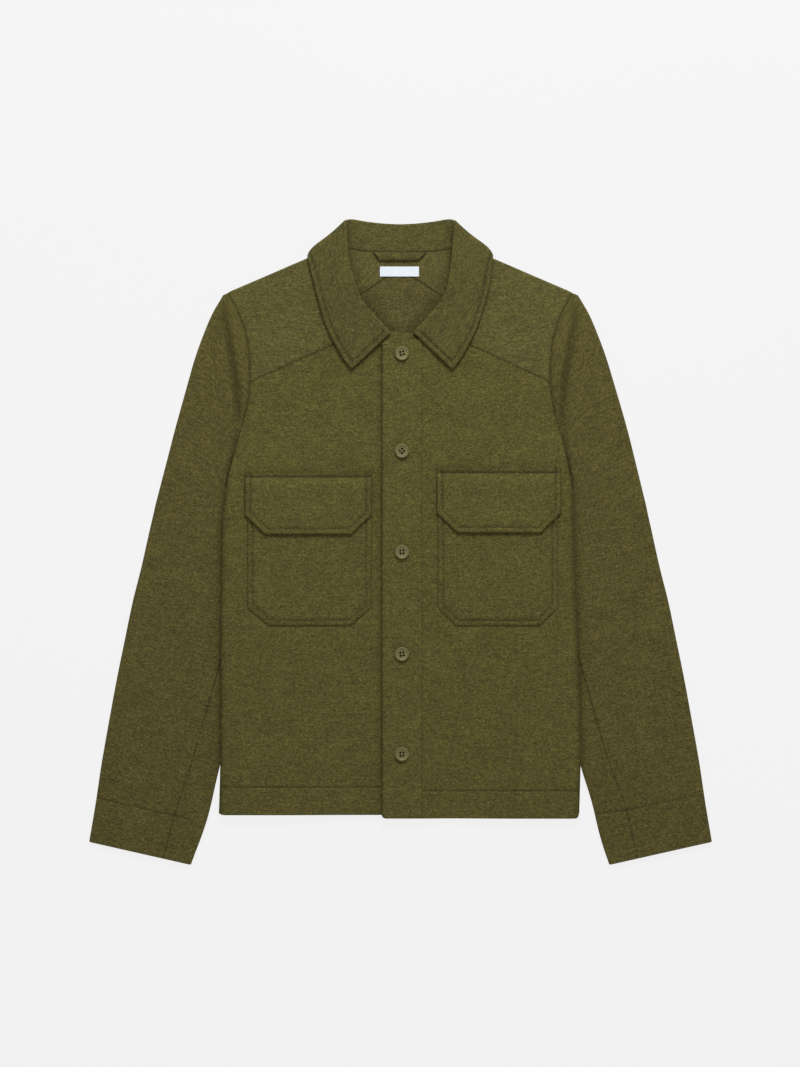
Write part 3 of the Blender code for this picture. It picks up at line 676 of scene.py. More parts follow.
def linear(colour):
    """Scene-linear colour of a colour given in 0 to 255."""
    shares = [channel / 255.0 for channel in colour]
    return [s / 12.92 if s <= 0.04045 else ((s + 0.055) / 1.055) ** 2.4 for s in shares] + [1.0]


def shaded(colour, factor):
    return tuple(min(255.0, channel * factor) for channel in colour)


def start_material(name):
    material = bpy.data.materials.new(name)
    material.use_nodes = True
    return material, material.node_tree, material.node_tree.nodes["Principled BSDF"]


def set_inputs(shader, values):
    """Constant values on a shader's own sockets."""
    for socket, value in values.items():
        shader.inputs[socket].default_value = value


def attribute(tree, name):
    """Node that reads a value stored on the points."""
    node = tree.nodes.new("ShaderNodeAttribute")
    node.attribute_name = name
    return node


def own_place(tree):
    return tree.nodes.new("ShaderNodeTexCoord").outputs["Object"]


def noise(tree, source, scale, detail, stretch=(1.0, 1.0, 1.0), roughness=0.6):
    """Noise on the given coordinates."""
    place = tree.nodes.new("ShaderNodeMapping")
    place.inputs["Scale"].default_value = stretch
    texture = tree.nodes.new("ShaderNodeTexNoise")
    texture.inputs["Scale"].default_value = scale
    texture.inputs["Detail"].default_value = detail
    texture.inputs["Roughness"].default_value = roughness
    tree.links.new(source, place.inputs["Vector"])
    tree.links.new(place.outputs["Vector"], texture.inputs["Vector"])
    return texture.outputs["Fac"]


def ramp(tree, value, stops):
    """Colour ramp through (place, colour) stops."""
    node = tree.nodes.new("ShaderNodeValToRGB")
    while len(node.color_ramp.elements) < len(stops):
        node.color_ramp.elements.new(0.5)
    for element, (place, colour) in zip(node.color_ramp.elements, stops):
        element.position = place
        element.color = colour
    tree.links.new(value, node.inputs["Fac"])
    return node.outputs["Color"]


def mixed(tree, kind, first, second, factor=1.0):
    """Two colours mixed by a constant share or by a value."""
    node = tree.nodes.new("ShaderNodeMix")
    node.data_type = "RGBA"
    node.blend_type = kind
    if isinstance(factor, float):
        node.inputs[0].default_value = factor
    else:
        tree.links.new(factor, node.inputs[0])
    tree.links.new(first, node.inputs[6])
    tree.links.new(second, node.inputs[7])
    return node.outputs[2]


def greys(*stops):
    """Ramp stops of grey, from (place, value) pairs."""
    return [(place, (value, value, value, 1.0)) for place, value in stops]


def shades(colour, *stops):
    """Ramp stops of one colour made lighter or darker, from (place, factor) pairs."""
    return [(place, linear(shaded(colour, factor))) for place, factor in stops]


def bumped(tree, shader, height, strength, distance):
    """Fine relief of a shader, from a value."""
    bump = tree.nodes.new("ShaderNodeBump")
    set_inputs(bump, {"Strength": strength, "Distance": distance})
    tree.links.new(height, bump.inputs["Height"])
    tree.links.new(bump.outputs["Normal"], shader.inputs["Normal"])


def wool_material(name, colour):
    """Felted melton: heathered flecks, faint weft streaks, lighter surface hairs and a soft nap, its colour
    darkened by a stored share of pressed nap and painted shade.
    """
    material, tree, shader = start_material(name)
    source = attribute(tree, "cloth").outputs["Vector"]
    flecks = noise(tree, source, 600.0, 3.0, (0.75, 1.0, 1.0), 0.66)
    base = ramp(tree, flecks, shades(colour, (0.27, 0.66), (0.45, 0.94), (0.57, 1.1), (0.74, 1.42)))
    streaks = noise(tree, source, 300.0, 2.0, (0.22, 1.6, 1.0))
    base = mixed(tree, "MULTIPLY", base, ramp(tree, streaks, greys((0.3, 0.86), (0.7, 1.12))))
    clouds = noise(tree, source, 34.0, 2.0)
    base = mixed(tree, "MULTIPLY", base, ramp(tree, clouds, greys((0.3, 0.93), (0.7, 1.06))))
    hairs = noise(tree, source, 420.0, 2.0, (0.5, 2.4, 1.0), 0.5)
    light = ramp(tree, streaks, shades(colour, (0.0, 1.45), (1.0, 1.75)))
    base = mixed(tree, "MIX", base, light, ramp(tree, hairs, greys((0.66, 0.0), (0.8, 0.55))))
    # Painted shade: the colour is darkened by the stored share. Along seams and stitches this is partly
    # pressed nap; in creases and beside edges it is painted shade and painted shadow.
    nap_and_shade_share = attribute(tree, "pressed_nap_and_shade").outputs["Fac"]
    base = mixed(tree, "MULTIPLY", base, ramp(tree, nap_and_shade_share, greys((0.0, 1.0), (1.0, NAP_AND_PAINTED_SHADE))))
    tree.links.new(base, shader.inputs["Base Color"])
    bumped(tree, shader, noise(tree, source, 760.0, 3.0, (0.7, 1.0, 1.0), 0.65), 0.5, 0.0007)
    set_inputs(shader, {"Roughness": 1.0, "Specular IOR Level": 0.12, "Sheen Weight": 0.06,
                        "Sheen Roughness": 0.6, "Sheen Tint": linear(shaded(colour, 1.5))})
    return material


def linked(name, data):
    """New object in the scene."""
    made = bpy.data.objects.new(name, data)
    bpy.context.scene.collection.objects.link(made)
    return made


def add_piece(name, mesh, material, node=None):
    """New piece on the one body, in place of a solid where one is named."""
    mesh.shade_smooth()
    mesh.materials.append(material)
    piece = linked(name, mesh)
    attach(piece, "root")
    if node:
        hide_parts(node)
    return piece


def grid_quads(index):
    """Faces between neighbours in a grid of point numbers."""
    corners = (index[:-1, :-1], index[:-1, 1:], index[1:, 1:], index[1:, :-1])
    return np.stack(corners, axis=2).reshape(-1, 4)


def tube_quads(rings, sides):
    """Faces of rings of points, each closed round."""
    index = np.arange(rings * sides).reshape(rings, sides)
    return grid_quads(np.column_stack((index, index[:, :1])))


def made_mesh(name, points, faces):
    """Mesh of points given in millimetres."""
    mesh = bpy.data.meshes.new(name)
    mesh.from_pydata((points * MM).tolist(), [], faces.tolist())
    return mesh


def wall_half(away, rounding, thickness):
    """Half of a wall's thickness at a distance from its rounded edge."""
    share = np.clip(away / rounding, 0.0, 1.0)
    return thickness / 2 * np.sqrt(1 - (1 - share) ** 2)


def shell(name, grids, material, thickness=CLOTH, rounding=1.0, beneath=None):
    """Closed cloth wall on grids of middle points, its edges rounded by a radius above and one beneath.

    Each grid is (points, normals, distance from the free edges, outer relief, cloth coordinates, share of
    darkened colour, which is pressed nap and painted shade).
    """
    points, faces, cloth, nap_and_shade = [], [], [], []
    first = 0
    for middle, normal, away, relief, place, nap_and_shade_share in grids:
        above = wall_half(away, rounding, thickness) + relief * np.clip(away / rounding, 0.0, 1.0)
        below = wall_half(away, beneath or rounding, thickness)
        count = away.size
        upper = first + np.arange(count).reshape(away.shape)
        lower = np.where(away <= 0.0, upper, upper + count)
        outward = np.cross(middle[0, 1] - middle[0, 0], middle[1, 0] - middle[0, 0]) @ normal[0, 0] > 0
        for index, forward in ((upper, outward), (lower, not outward)):
            quads = grid_quads(index)
            faces.append(quads if forward else quads[:, ::-1])
        points.append((middle + normal * above[..., None]).reshape(-1, 3))
        points.append((middle - normal * below[..., None]).reshape(-1, 3))
        cloth += [place.reshape(-1, 3)] * 2
        nap_and_shade += [np.clip(nap_and_shade_share + np.zeros(away.shape), 0.0, 1.0).ravel()] * 2
        first += 2 * count
    points, faces, cloth = np.concatenate(points), np.concatenate(faces), np.concatenate(cloth)
    cloth[:, 0] += GRAIN_STEP * cloth[:, 2]
    cloth[:, 2] = GRAIN_LEVEL
    used, faces = np.unique(faces, return_inverse=True)
    mesh = made_mesh(name, points[used], faces.reshape(-1, 4))
    on_cloth = mesh.attributes.new("cloth", "FLOAT_VECTOR", "POINT")
    on_cloth.data.foreach_set("vector", (cloth[used] * MM).ravel())
    # Share of darkened colour for the wool material: pressed nap and painted shade.
    on_nap_and_shade = mesh.attributes.new("pressed_nap_and_shade", "FLOAT", "POINT")
    on_nap_and_shade.data.foreach_set("value", np.concatenate(nap_and_shade)[used])
    piece = add_piece(name, mesh, material, name)
    cut = dict(zip(SHEET_COLUMNS, SHEETS[name]))
    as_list(cut["rests_on"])


def pattern_place(across, along, seed):
    """Cloth coordinates from lengths across and along a piece."""
    return np.stack((across, along, np.full(along.shape, seed)), axis=-1)


def corner_rounded(plan, corner, inward, radius):
    """Plan points with one outer corner of the outline rounded off."""
    moved = np.array(plan, float)
    inward = np.array(inward, float)
    local = radius - (moved - corner) * inward
    near = (local > 0.0).all(axis=-1)
    square = local[near].clip(0.0, radius)
    turned = square * np.sqrt(1 - square[:, ::-1] ** 2 / (2 * radius ** 2))
    moved[near] = corner + (radius - turned) * inward
    return moved


def flat_grid(plan, height, thickness, relief, seed, nap_and_shade=0.0, **free):
    """Grid of a piece that lies flat, from the height of its outer face."""
    outer = raised(plan, height)
    normal = facing(outer, (0, 0))
    place = pattern_place(plan[..., 0], plan[..., 1], seed)
    return outer - normal * thickness / 2, normal, edge_distance(outer, **free), relief, place, nap_and_shade


def side_shift(y, side):
    """How far one side of the body lies over to the left, at the given heights in plan."""
    rows = np.array(SIDE_SHIFT[side], float)
    return np.interp(y, rows[:, 0], rows[:, 1])


def drifted(plan):
    """Plan points of the body with its sides moved over, as it lies."""
    moved = np.array(plan, float)
    x, y = plan[..., 0], plan[..., 1]
    share = smooth((np.abs(x) - SHIFT_FROM_X) / (SHIFT_FULL_X - SHIFT_FROM_X))
    moved[..., 0] += share * np.where(x < 0, side_shift(y, RIGHT), side_shift(y, LEFT))
    return moved


def below_arm(y):
    """Share to which a height in plan is below the armhole seam."""
    return smooth((SIDE_SEAM_OPEN_Y - y) / SIDE_SEAM_OPEN_REACH)


def rolled(away, reach, drop):
    """How far a rounded edge has sunk at a distance from it."""
    share = np.clip(away / reach, 0.0, 1.0)
    return drop * (1 - np.sqrt(1 - (1 - share) ** 2))


def dipped(away):
    """Cloth drawn down beside a seam."""
    return groove(away, SEAM_DIP, SEAM_DIP_WIDTH)


def body_side(hem_y, last_row):
    """Side of the body from the hem up to a row of the armhole, on the left."""
    arm = armhole(last=last_row)
    arm[-1, 1] += SEWN
    return np.concatenate((np.array([(HEM_SIDE_X, hem_y)] + BODY_SIDE[1:-1], float), arm))


def make_back(material):
    """Back panel, which shows inside the neck."""
    side = body_side(HEM_BACK_Y, BACK_YOKE_ROW)
    peak = (BACK_YOKE_PEAK[0], BACK_YOKE_PEAK[1] + SEWN)
    low = [(-HEM_SIDE_X, HEM_BACK_Y), (HEM_SIDE_X, HEM_BACK_Y)]
    high = [mirrored(side[-1], -1), peak, side[-1]]
    across, upward = GRID["back"]
    plan = drifted(patch(low, high, mirrored(side, -1), side,
                         spread(2 * HEM_SIDE_X, across), spread(length_of(side), upward)))
    soft = 1.0 + BACK_SIDE_SOFT * below_arm(plan[:, :1, 1])
    from_yoke = reach(plan, 0, True)
    # Darkened along the yoke seam with pressed nap and painted shade, and beside the collar's roll with
    # painted shadow.
    nap_and_shade = np.maximum(pressed_nap_and_shade(from_yoke, SEAM_NAP_AND_SHADE), roll_painted_shadow(plan))
    grid = flat_grid(plan, inside_height, CLOTH, dipped(from_yoke), GRAIN["back"], nap_and_shade,
                     high=BACK_SEAM_EDGE, start=soft, end=soft)
    shell("back", [grid], material, beneath=FLAT_BENEATH)


def drawn_in(plan, side):
    """Share to which the pockets that are sewn on draw the front in, at points in plan."""
    found = np.zeros(plan.shape[:-1])
    for row in POCKET_ROWS:
        values = dict(zip(POCKET_COLUMNS, row))
        if (values["low_x"] > 0) == (side == LEFT):
            if values["layer"] == 2:
                values["corner_y"] = values["bottom_y"] = values["top_y"] - FLAP_SEAT_REACH
                values["cut"] = 0.0
            corners = pocket_outline(values)
            kept = np.linalg.norm(corners - np.roll(corners, -1, axis=0), axis=1) > 0.0
            found = np.maximum(found, smooth(1 - outside(plan, corners[kept]) / PRESS_REACH))
    return found


def front_relief(plan, side, hem_y):
    """Hem stitching and the ground of the pockets on a front."""
    above_line = plan[..., 1] - hem_y - HEM_DEPTH
    thicker = HEM_THICKER * smooth(-above_line / HEM_STEP)
    return groove(above_line, HEM_GROOVE) + thicker - PRESS_DEPTH * drawn_in(plan, side)


def make_front(name, side, hem_y, centre_x, throat, material):
    """Front panel from the hem to the yoke seam and the neckline."""
    outline = body_side(hem_y, FRONT_YOKE_ROW)
    low = [(centre_x, hem_y), (HEM_SIDE_X, hem_y)]
    high = np.concatenate((throat, [outline[-1]]))
    across, upward = GRID["front"]
    plan = patch(low, high, [low[0], high[0]], outline, spread(HEM_SIDE_X - centre_x, across),
                 spread(length_of(outline), upward, HEM_DEPTH * np.array(HEM_LINE_SHARES)))
    plan = drifted(mirrored(corner_rounded(plan, (HEM_SIDE_X, hem_y), (-1, 1), HEM_CORNER), side))
    under_arm = below_arm(plan[:, -1:, 1])
    from_side = reach(plan, 1, True)
    from_yoke = reach(plan, 0, True)
    folds = creased(name, plan) - under_arm * rolled(from_side, SIDE_ROLL_REACH, SIDE_ROLL)
    relief = front_relief(plan, side, hem_y) + dipped(from_yoke) + (1 - under_arm) * dipped(from_side)
    # Darkened along the side seam with pressed nap and painted shade. Below the arm, where the side edge
    # lies over the sleeve, a wider painted shade of that edge.
    nap_and_shade = pressed_nap_and_shade(from_side, SEAM_NAP_AND_SHADE, SEAM_NAP_AND_SHADE_WIDTH + SIDE_PAINTED_SHADE_SPREAD * under_arm)
    # Darkened along the yoke seam and the hem stitching: pressed nap and painted shade.
    nap_and_shade = nap_and_shade + pressed_nap_and_shade(from_yoke, SEAM_NAP_AND_SHADE)
    nap_and_shade = nap_and_shade + pressed_nap_and_shade(plan[..., 1] - hem_y - HEM_DEPTH, HEM_NAP_AND_SHADE, STITCH_NAP_AND_SHADE_WIDTH)
    # On the right front: painted shadow beside the front band's edge.
    if side == RIGHT:
        nap_and_shade = nap_and_shade + pressed_nap_and_shade(np.maximum(BAND_LEFT_EDGE_X - plan[..., 0], 0.0), *BESIDE_BAND_PAINTED_SHADOW)
    grid = flat_grid(plan, lambda x, y: front_height(x, y, side) + folds, CLOTH, relief,
                     GRAIN["front"] + side, nap_and_shade, low=HEM_EDGE, high=SEAM_EDGE,
                     start=BESIDE_BAND_EDGE if side == LEFT else 1.0,
                     end=SEAM_EDGE + FRONT_SIDE_SOFT * under_arm)
    shell(name, [grid], material, beneath=FLAT_BENEATH)


def make_band(material):
    """Front band over the underlap."""
    low = [(BAND_LEFT_EDGE_X, HEM_LEFT_Y), (BAND_SEAM_X, HEM_LEFT_Y)]
    high = [(BAND_LEFT_EDGE_X, BAND_TOP_LOW_Y), (BAND_SEAM_X, BAND_TOP_HIGH_Y)]
    across, upward = GRID["band"]
    plan = strip_between(low, high, spread(length_of(low), across),
                         spread(length_of([low[0], high[0]]), upward))
    plan = corner_rounded(plan, low[0], (1, 1), HEM_CORNER)
    around = np.min([np.linalg.norm(plan - (CENTRE_FRONT_X, y), axis=-1) for y in BUTTON_Y], axis=0)
    from_edge = plan[..., 0] - BAND_LEFT_EDGE_X
    relief = BAND_EDGE_SWELL * smooth(1 - from_edge / BAND_SWELL_REACH)
    relief = relief - BUTTON_DIMPLE * bell(around, BUTTON_DIMPLE_REACH)
    # Painted shade along the band's free left edge.
    grid = flat_grid(plan, band_height, BAND_CLOTH, relief, GRAIN["band"],
                     pressed_nap_and_shade(from_edge, *BAND_EDGE_PAINTED_SHADE), end=BAND_EDGE)
    shell("placket", [grid], material, BAND_CLOTH, rounding=BAND_ROUNDING)


def make_yoke(material):
    """Yoke in one piece, folded over both shoulders."""
    halves = []
    across_step, upward_step = GRID["yoke"]
    for side in (RIGHT, LEFT):
        arm = armhole(first=FRONT_YOKE_ROW)
        back_arm = armhole(first=BACK_YOKE_ROW)[::-1]
        front_neck = lean(curve(NECK_FRONT, 8), side)
        back_neck = np.concatenate((NECK_BACK, [BACK_YOKE_PEAK]))
        seam = [front_neck[0], arm[0]]
        fold = [front_neck[-1], arm[-1]]
        across = spread(length_of(seam), across_step)
        front = patch(seam, fold, front_neck, arm, across, spread(length_of(front_neck), upward_step))
        back = patch(fold, [BACK_YOKE_PEAK, back_arm[-1]], back_neck, back_arm, across,
                     spread(length_of(back_neck), upward_step, [length_of(NECK_BACK)]))
        ridge = mirrored(walk(fold, across), side)
        front = raised(mirrored(front, side), lambda x, y: front_height(x, y, side))
        front[..., 2] += creased("yoke", front[..., :2])
        back = raised(mirrored(back, side), base_height)
        middle = (front[-1, :, 2] + back[0, :, 2]) / 2
        half = (front[-1, :, 2] - back[0, :, 2]) / 2
        turn = []
        for angle in FOLD_ANGLES:
            out = mirrored(FOLD_RADIUS * math.cos(angle) * np.array(SHOULDER_NORMAL), side)
            turn.append(np.column_stack((ridge + out, middle + half * math.sin(angle))))
        outer = np.concatenate((front, np.array(turn), back))
        normal = facing(outer, (0, 0))
        joined = np.abs(outer[:, 0, 0]) < 0.01
        edges = {"low": SEAM_EDGE, "high": BACK_SEAM_EDGE, "end": SEAM_EDGE}
        away = edge_distance(outer, start=NECK_EDGE, **edges)
        away[joined] = edge_distance(outer, start=0, **edges)[joined]
        # Darkened along the yoke's seams: pressed nap and painted shade.
        nap_and_shade = pressed_nap_and_shade(edge_distance(outer, start=np.where(joined, 1e-6, 1.0)[:, None]), SEAM_NAP_AND_SHADE)
        inside = len(front) + len(turn)
        # Painted shadow of the collar's roll on the back of the yoke.
        nap_and_shade[inside:] = np.maximum(nap_and_shade[inside:], roll_painted_shadow(outer[inside:, :, :2]))
        place = pattern_place(reach(outer, 1) * side, reach(outer, 0) + outer[:1, :, 1], GRAIN["yoke"])
        relief = dipped(edge_distance(outer, start=0))
        halves.append((outer - normal * CLOTH / 2, normal, away, relief, place, nap_and_shade))
    shell("yoke", halves, material)


def sleeve_table():
    """Rows of the whole sleeve, from the cuff to the shoulder point."""
    seam = armhole()
    along = np.gradient(seam, axis=0)
    beside = np.column_stack((along[:, 1], -along[:, 0]))
    beside /= np.linalg.norm(beside, axis=1)[:, None]
    cap = np.column_stack((armhole_line("outer_x", "outer_y"), seam - SEWN * beside, np.zeros(len(seam))))
    rows = np.concatenate((curve(SLEEVE_ROWS, SLEEVE_STEPS), cap))
    rows = np.column_stack((rows, np.ones(len(rows))))
    tip = []
    for angle in CAP_TIP_ANGLES:
        out = FOLD_RADIUS * math.sin(angle) * np.array(SHOULDER_NORMAL)
        tip.append((*(rows[-1, :2] + CAP_TIP_LEAN * out), *(rows[-1, 2:4] + out), 0.0, math.cos(angle)))
    return np.concatenate((rows, tip))


def bowed(value, size, middle, width):
    return size * bell(value - middle, width)


def sleeve_drift(rows, side):
    """Sleeve rows moved a little, as each sleeve lies."""
    moved = np.array(rows, float)
    outer_y, inner_y = moved[:, 1], moved[:, 3]
    moved[:, 2] += side * between(inner_y, ARMHOLE_SHIFT_SPAN) * side_shift(inner_y, side)
    moved[:, 2] -= UNDERARM_TUCK * between(inner_y, TUCK_SPAN[0]) * (1 - between(inner_y, TUCK_SPAN[1]))
    if side == LEFT:
        moved[:, 0] += LEFT_OUTER_SHIFT
        moved[:, 2] += bowed(inner_y, *LEFT_CUFF_BOW)
    else:
        moved[:, 0] -= bowed(outer_y, *RIGHT_ELBOW_BOW)
    return moved


def sleeve_section(row, under, shares, below):
    """Section of one sleeve piece: over the top, round a folded edge and back underneath."""
    values = dict(zip(SLEEVE_COLUMNS + ("fullness",), row))
    inner = np.array((values["inner_x"], values["inner_y"]))
    outer = np.array((values["outer_x"], values["outer_y"]))
    width = np.linalg.norm(outer - inner)
    seam = values["seam"] * width
    start, fold, turn = (seam + SEWN, FOLD_RADIUS, -1.0) if under else (seam, width - FOLD_RADIUS, 1.0)
    over = start + (fold - start) * shares
    beneath = fold + (start - fold) * below
    distance = np.concatenate((over, fold + turn * FOLD_RADIUS * np.cos(FOLD_ANGLES), beneath))
    height = np.concatenate((np.full(len(over), DOUBLE), FOLD_RADIUS * (1 + np.sin(FOLD_ANGLES)),
                             np.zeros(len(beneath))))
    height = FOLD_RADIUS + (height - FOLD_RADIUS) * values["fullness"]
    across = unit(outer - inner)
    return np.column_stack((inner + across * distance[:, None], height))


def make_sleeves(material):
    """Two-piece sleeves: flattened tubes with a front seam, open at cuff and armhole."""
    table = sleeve_table()
    below_cap = table[:SLEEVE_STEPS * (len(SLEEVE_ROWS) - 1) + 1]
    at_cuff, further, at_cap = SLEEVE_SEAM_SHARES
    for word, side in (("right", RIGHT), ("left", LEFT)):
        cuff = mirrored(CUFF_LINES[side], side)
        body = np.concatenate((armhole(last=2)[::-1], BODY_SIDE[-2::-1]))
        body[:, 0] = side * body[:, 0] + side_shift(body[:, 1], side)
        for kind, rows in (("top", table), ("under", below_cap)):
            name = "sleeve_%s_%s" % (kind, word)
            across, upward = GRID[kind]
            shares = spread(SLEEVE_WIDTH[kind], across)
            below = np.linspace(0.0, 1.0, SLEEVE_LINES_BELOW[kind]) ** BELOW_EASE
            walked = sleeve_drift(walk(rows, spread(length_of(rows[:, :2]), upward, CUFF_MARKS)), side)
            outer = mirrored([sleeve_section(row, kind == "under", shares, below) for row in walked], side)
            plan = outer[..., :2]
            top = (np.arange(outer.shape[1]) < len(shares)).astype(float)[None]
            from_seam = reach(outer, 1)
            from_fold = from_seam[:, [len(shares) - 1]] - from_seam
            off_seam = smooth(from_seam / SEAM_CLEAR)
            outer[..., 2] += top * creased(name, plan) * off_seam * smooth(from_fold / FOLD_CLEAR)
            normal = facing(outer, (0, 0))
            from_cuff = apart(plan, cuff)
            in_cap = between(plan[:, :1, 1], CAP_SEAM_SPAN)
            relief = top * (groove(from_cuff, HEM_GROOVE) + in_cap * dipped(from_seam))
            seam_share = at_cuff + further * between(plan[:, :1, 1], CUFF_SEAM_SPAN) + at_cap * in_cap
            # Darkened along the sleeve's seam and the cuff stitching: pressed nap and painted shade.
            nap_and_shade = pressed_nap_and_shade(from_seam, SEAM_NAP_AND_SHADE * seam_share)
            nap_and_shade = nap_and_shade + pressed_nap_and_shade(from_cuff, CUFF_NAP_AND_SHADE[side], STITCH_NAP_AND_SHADE_WIDTH)
            # Painted shade in the troughs of the sleeve's creases, such as the deep valley beside the
            # armhole seam.
            nap_and_shade = nap_and_shade - CREASE_PAINTED_SHADE * creased(name, plan, DEEP_CREASE) * off_seam
            # Painted shadow on the sleeve's top beside the body's edge that lies over it.
            nap_and_shade = top * (nap_and_shade + pressed_nap_and_shade(apart(plan, body), CONTACT_PAINTED_SHADOW, CONTACT_SHADOW_WIDTH))
            away = edge_distance(outer, start=SEAM_EDGE)
            place = pattern_place(reach(outer, 1) * side, reach(outer, 0), GRAIN["sleeve"] + side)
            shell(name, [(outer - normal * CLOTH / 2, normal, away, relief, place, nap_and_shade)], material)


def placed(plan, normal, turn, above, beneath):
    """Point of a folded layer, between its heights in front and behind."""
    middle = (above + beneath) / 2
    half = (above - beneath) / 2
    return np.array((*(plan + half * math.cos(turn) * normal), middle + half * math.sin(turn)))


def collar_section(row, side, stand_shares, fall_shares):
    """Section of the collar: up the stand, round the roll and down the fall."""
    values = dict(zip(COLLAR_COLUMNS, row))
    turn = math.radians(values["turn"])
    flip = np.array((side, 1.0))
    neck, fold, edge = [lean((values[word + "_x"], values[word + "_y"]), side) * flip
                        for word in ("neck", "fold", "edge")]
    shoulder = np.array(SHOULDER_NORMAL) * flip
    outward = np.array(COLLAR_FOLD_NORMAL) * flip
    upward = unit(fold - neck)
    roll = (FALL_HALF - STAND_HALF) / 2
    fold = fold - upward * (roll + CLOTH / 2)
    neck = neck - upward * SEWN
    low = placed(neck, shoulder, turn, front_height(*neck, side) - CLOTH / 2,
                 inside_height(*neck) - CLOTH / 2)
    height = COLLAR_FOLD_Z + values["rise"]
    stand = placed(fold, outward, turn, height + STAND_HALF, height - STAND_HALF)
    fall = placed(fold, outward, turn, height + FALL_HALF, height - FALL_HALF + FLOOR_GAP)
    over = front_height(*edge, side) + REST_GAP + CLOTH / 2 + EDGE_LIFT
    tip = placed(edge, shoulder, turn, over, FLOOR_GAP + CLOTH / 2)
    centre = (stand + fall) / 2
    away = (fall - stand) / 2
    rise = np.array((*upward, 0.0)) * roll
    up = low + (stand - low) * stand_shares[:, None]
    round_top = centre - away * np.sin(ROLL_ANGLES)[:, None] + rise * np.cos(ROLL_ANGLES)[:, None]
    down = fall + (tip - fall) * fall_shares[:, None]
    down[:, 2] = tip[2] + (fall[2] - tip[2]) * (1 - fall_shares) ** FALL_ROUNDING
    by_height, by_width = COLLAR_CORNER_SPANS
    at_corner = between(values["fold_y"], by_height) * between(values["fold_x"], by_width)
    bulge = COLLAR_BULGE * at_corner * fall_shares ** 4 * (1 - fall_shares)
    down[:, :2] += outward * bulge[:, None]
    return np.concatenate((up, round_top, down))


def make_collar(material, sewn):
    """Collar with stand and fall in one, rolled round the neck and open at the throat."""
    across, along = GRID["collar"]
    stand_shares = spread(STAND_WIDTH, across)
    fall_shares = spread(FALL_WIDTH, across, [FALL_WIDTH - EDGE_INSET], **FALL_FINE)
    table = curve(COLLAR_ROWS, 10)
    lines = spread(length_of(table), along, [COLLAR_END_MARK], **THROAT_FINE)[:-COLLAR_CROWDED]
    walked = np.concatenate((walk(table, lines), [COLLAR_ROWS[-1]]))
    halves = [np.array([collar_section(row, side, stand_shares, fall_shares) for row in walked])
              for side in (RIGHT, LEFT)]
    middle = np.concatenate((halves[0], halves[1][-2::-1]))
    normal = facing(middle, (0, -3))
    fall = len(stand_shares) + len(ROLL_ANGLES)
    turn = walked[:, COLLAR_COLUMNS.index("turn")]
    in_front = between(turn, COLLAR_FRONT_TURN)
    in_front = np.concatenate((in_front, in_front[-2::-1]))[:, None]
    from_seam = reach(middle, 1)
    edges = np.minimum(np.minimum(reach(middle, 0), reach(middle, 0, True)), reach(middle, 1, True))
    past_roll = from_seam - from_seam[:, [fall - 1]]
    on_fall = in_front * smooth(past_roll / COLLAR_ROLL_REACH)
    relief = welt(edges, COLLAR_WELT) * on_fall
    away = edge_distance(middle, start=COLLAR_SEAM_EDGE)
    place = pattern_place(reach(middle, 0), from_seam, GRAIN["collar"])
    # Darkened along the edge stitching and the neck seam: pressed nap and painted shade.
    nap_and_shade = pressed_nap_and_shade(edges - EDGE_INSET, STITCH_NAP_AND_SHADE, STITCH_NAP_AND_SHADE_WIDTH) * on_fall
    nap_and_shade = nap_and_shade + pressed_nap_and_shade(from_seam, SEAM_NAP_AND_SHADE, STAND_NAP_AND_SHADE_WIDTH)
    # Painted shadow of the roll on the back of the collar, and painted shade on the stand under the roll at
    # the front.
    nap_and_shade = nap_and_shade + (1 - in_front) * roll_painted_shadow(middle[..., :2])
    nap_and_shade = nap_and_shade + in_front * ROLL_PAINTED_SHADOW * smooth(-past_roll / STAND_SHADE_REACH)
    low = curve(STAND_END_LOW + [halves[1][0, 0]], 9)
    high = curve(STAND_END_HIGH + [halves[1][0, len(stand_shares) - 1]], 9)
    strip = low[None] + (high - low)[None] * spread(*STAND_END_GRID)[:, None, None]
    level = np.zeros(strip.shape[:2])
    strip_place = pattern_place(reach(strip, 1), reach(strip, 0), GRAIN["stand"])
    grids = [(middle, normal, away, relief, place, nap_and_shade),
             (strip, facing(strip, (0, 0)), edge_distance(strip), level, strip_place, 0.0)]
    face = middle + normal * (CLOTH / 2 + relief)[..., None]
    inset = np.argmin(np.abs(reach(middle, 1, True).mean(axis=0) - EDGE_INSET))
    inset_end = np.argmin(np.abs(reach(middle, 0)[:, inset] - EDGE_INSET))
    limit = len(walked) - int(np.argmax(turn[::-1] > COLLAR_SEWN_TURN))
    for rows in (range(inset_end, limit), range(len(middle) - 1 - inset_end, len(middle) - limit, -1)):
        front = [face[rows[0], j] for j in range(fall + COLLAR_SEWN_FROM, inset)]
        sewn.append(np.array(front + [face[i, inset] for i in rows]))
    shell("collar", grids, material)


def pocket_outline(values, inset=0.0):
    """Left side, bottom and right side of a pocket or flap, moved in by an inset."""
    slant = inset * math.tan(math.pi / 8)
    low_x, high_x, cut = values["low_x"] + inset, values["high_x"] - inset, values["cut"]
    bottom, corner = values["bottom_y"] + inset, values["corner_y"] + slant
    return np.array([(low_x, values["top_y"]), (low_x, corner), (low_x + cut - inset + slant, bottom),
                     (high_x - cut + inset - slant, bottom), (high_x, corner), (high_x, values["top_y"])])


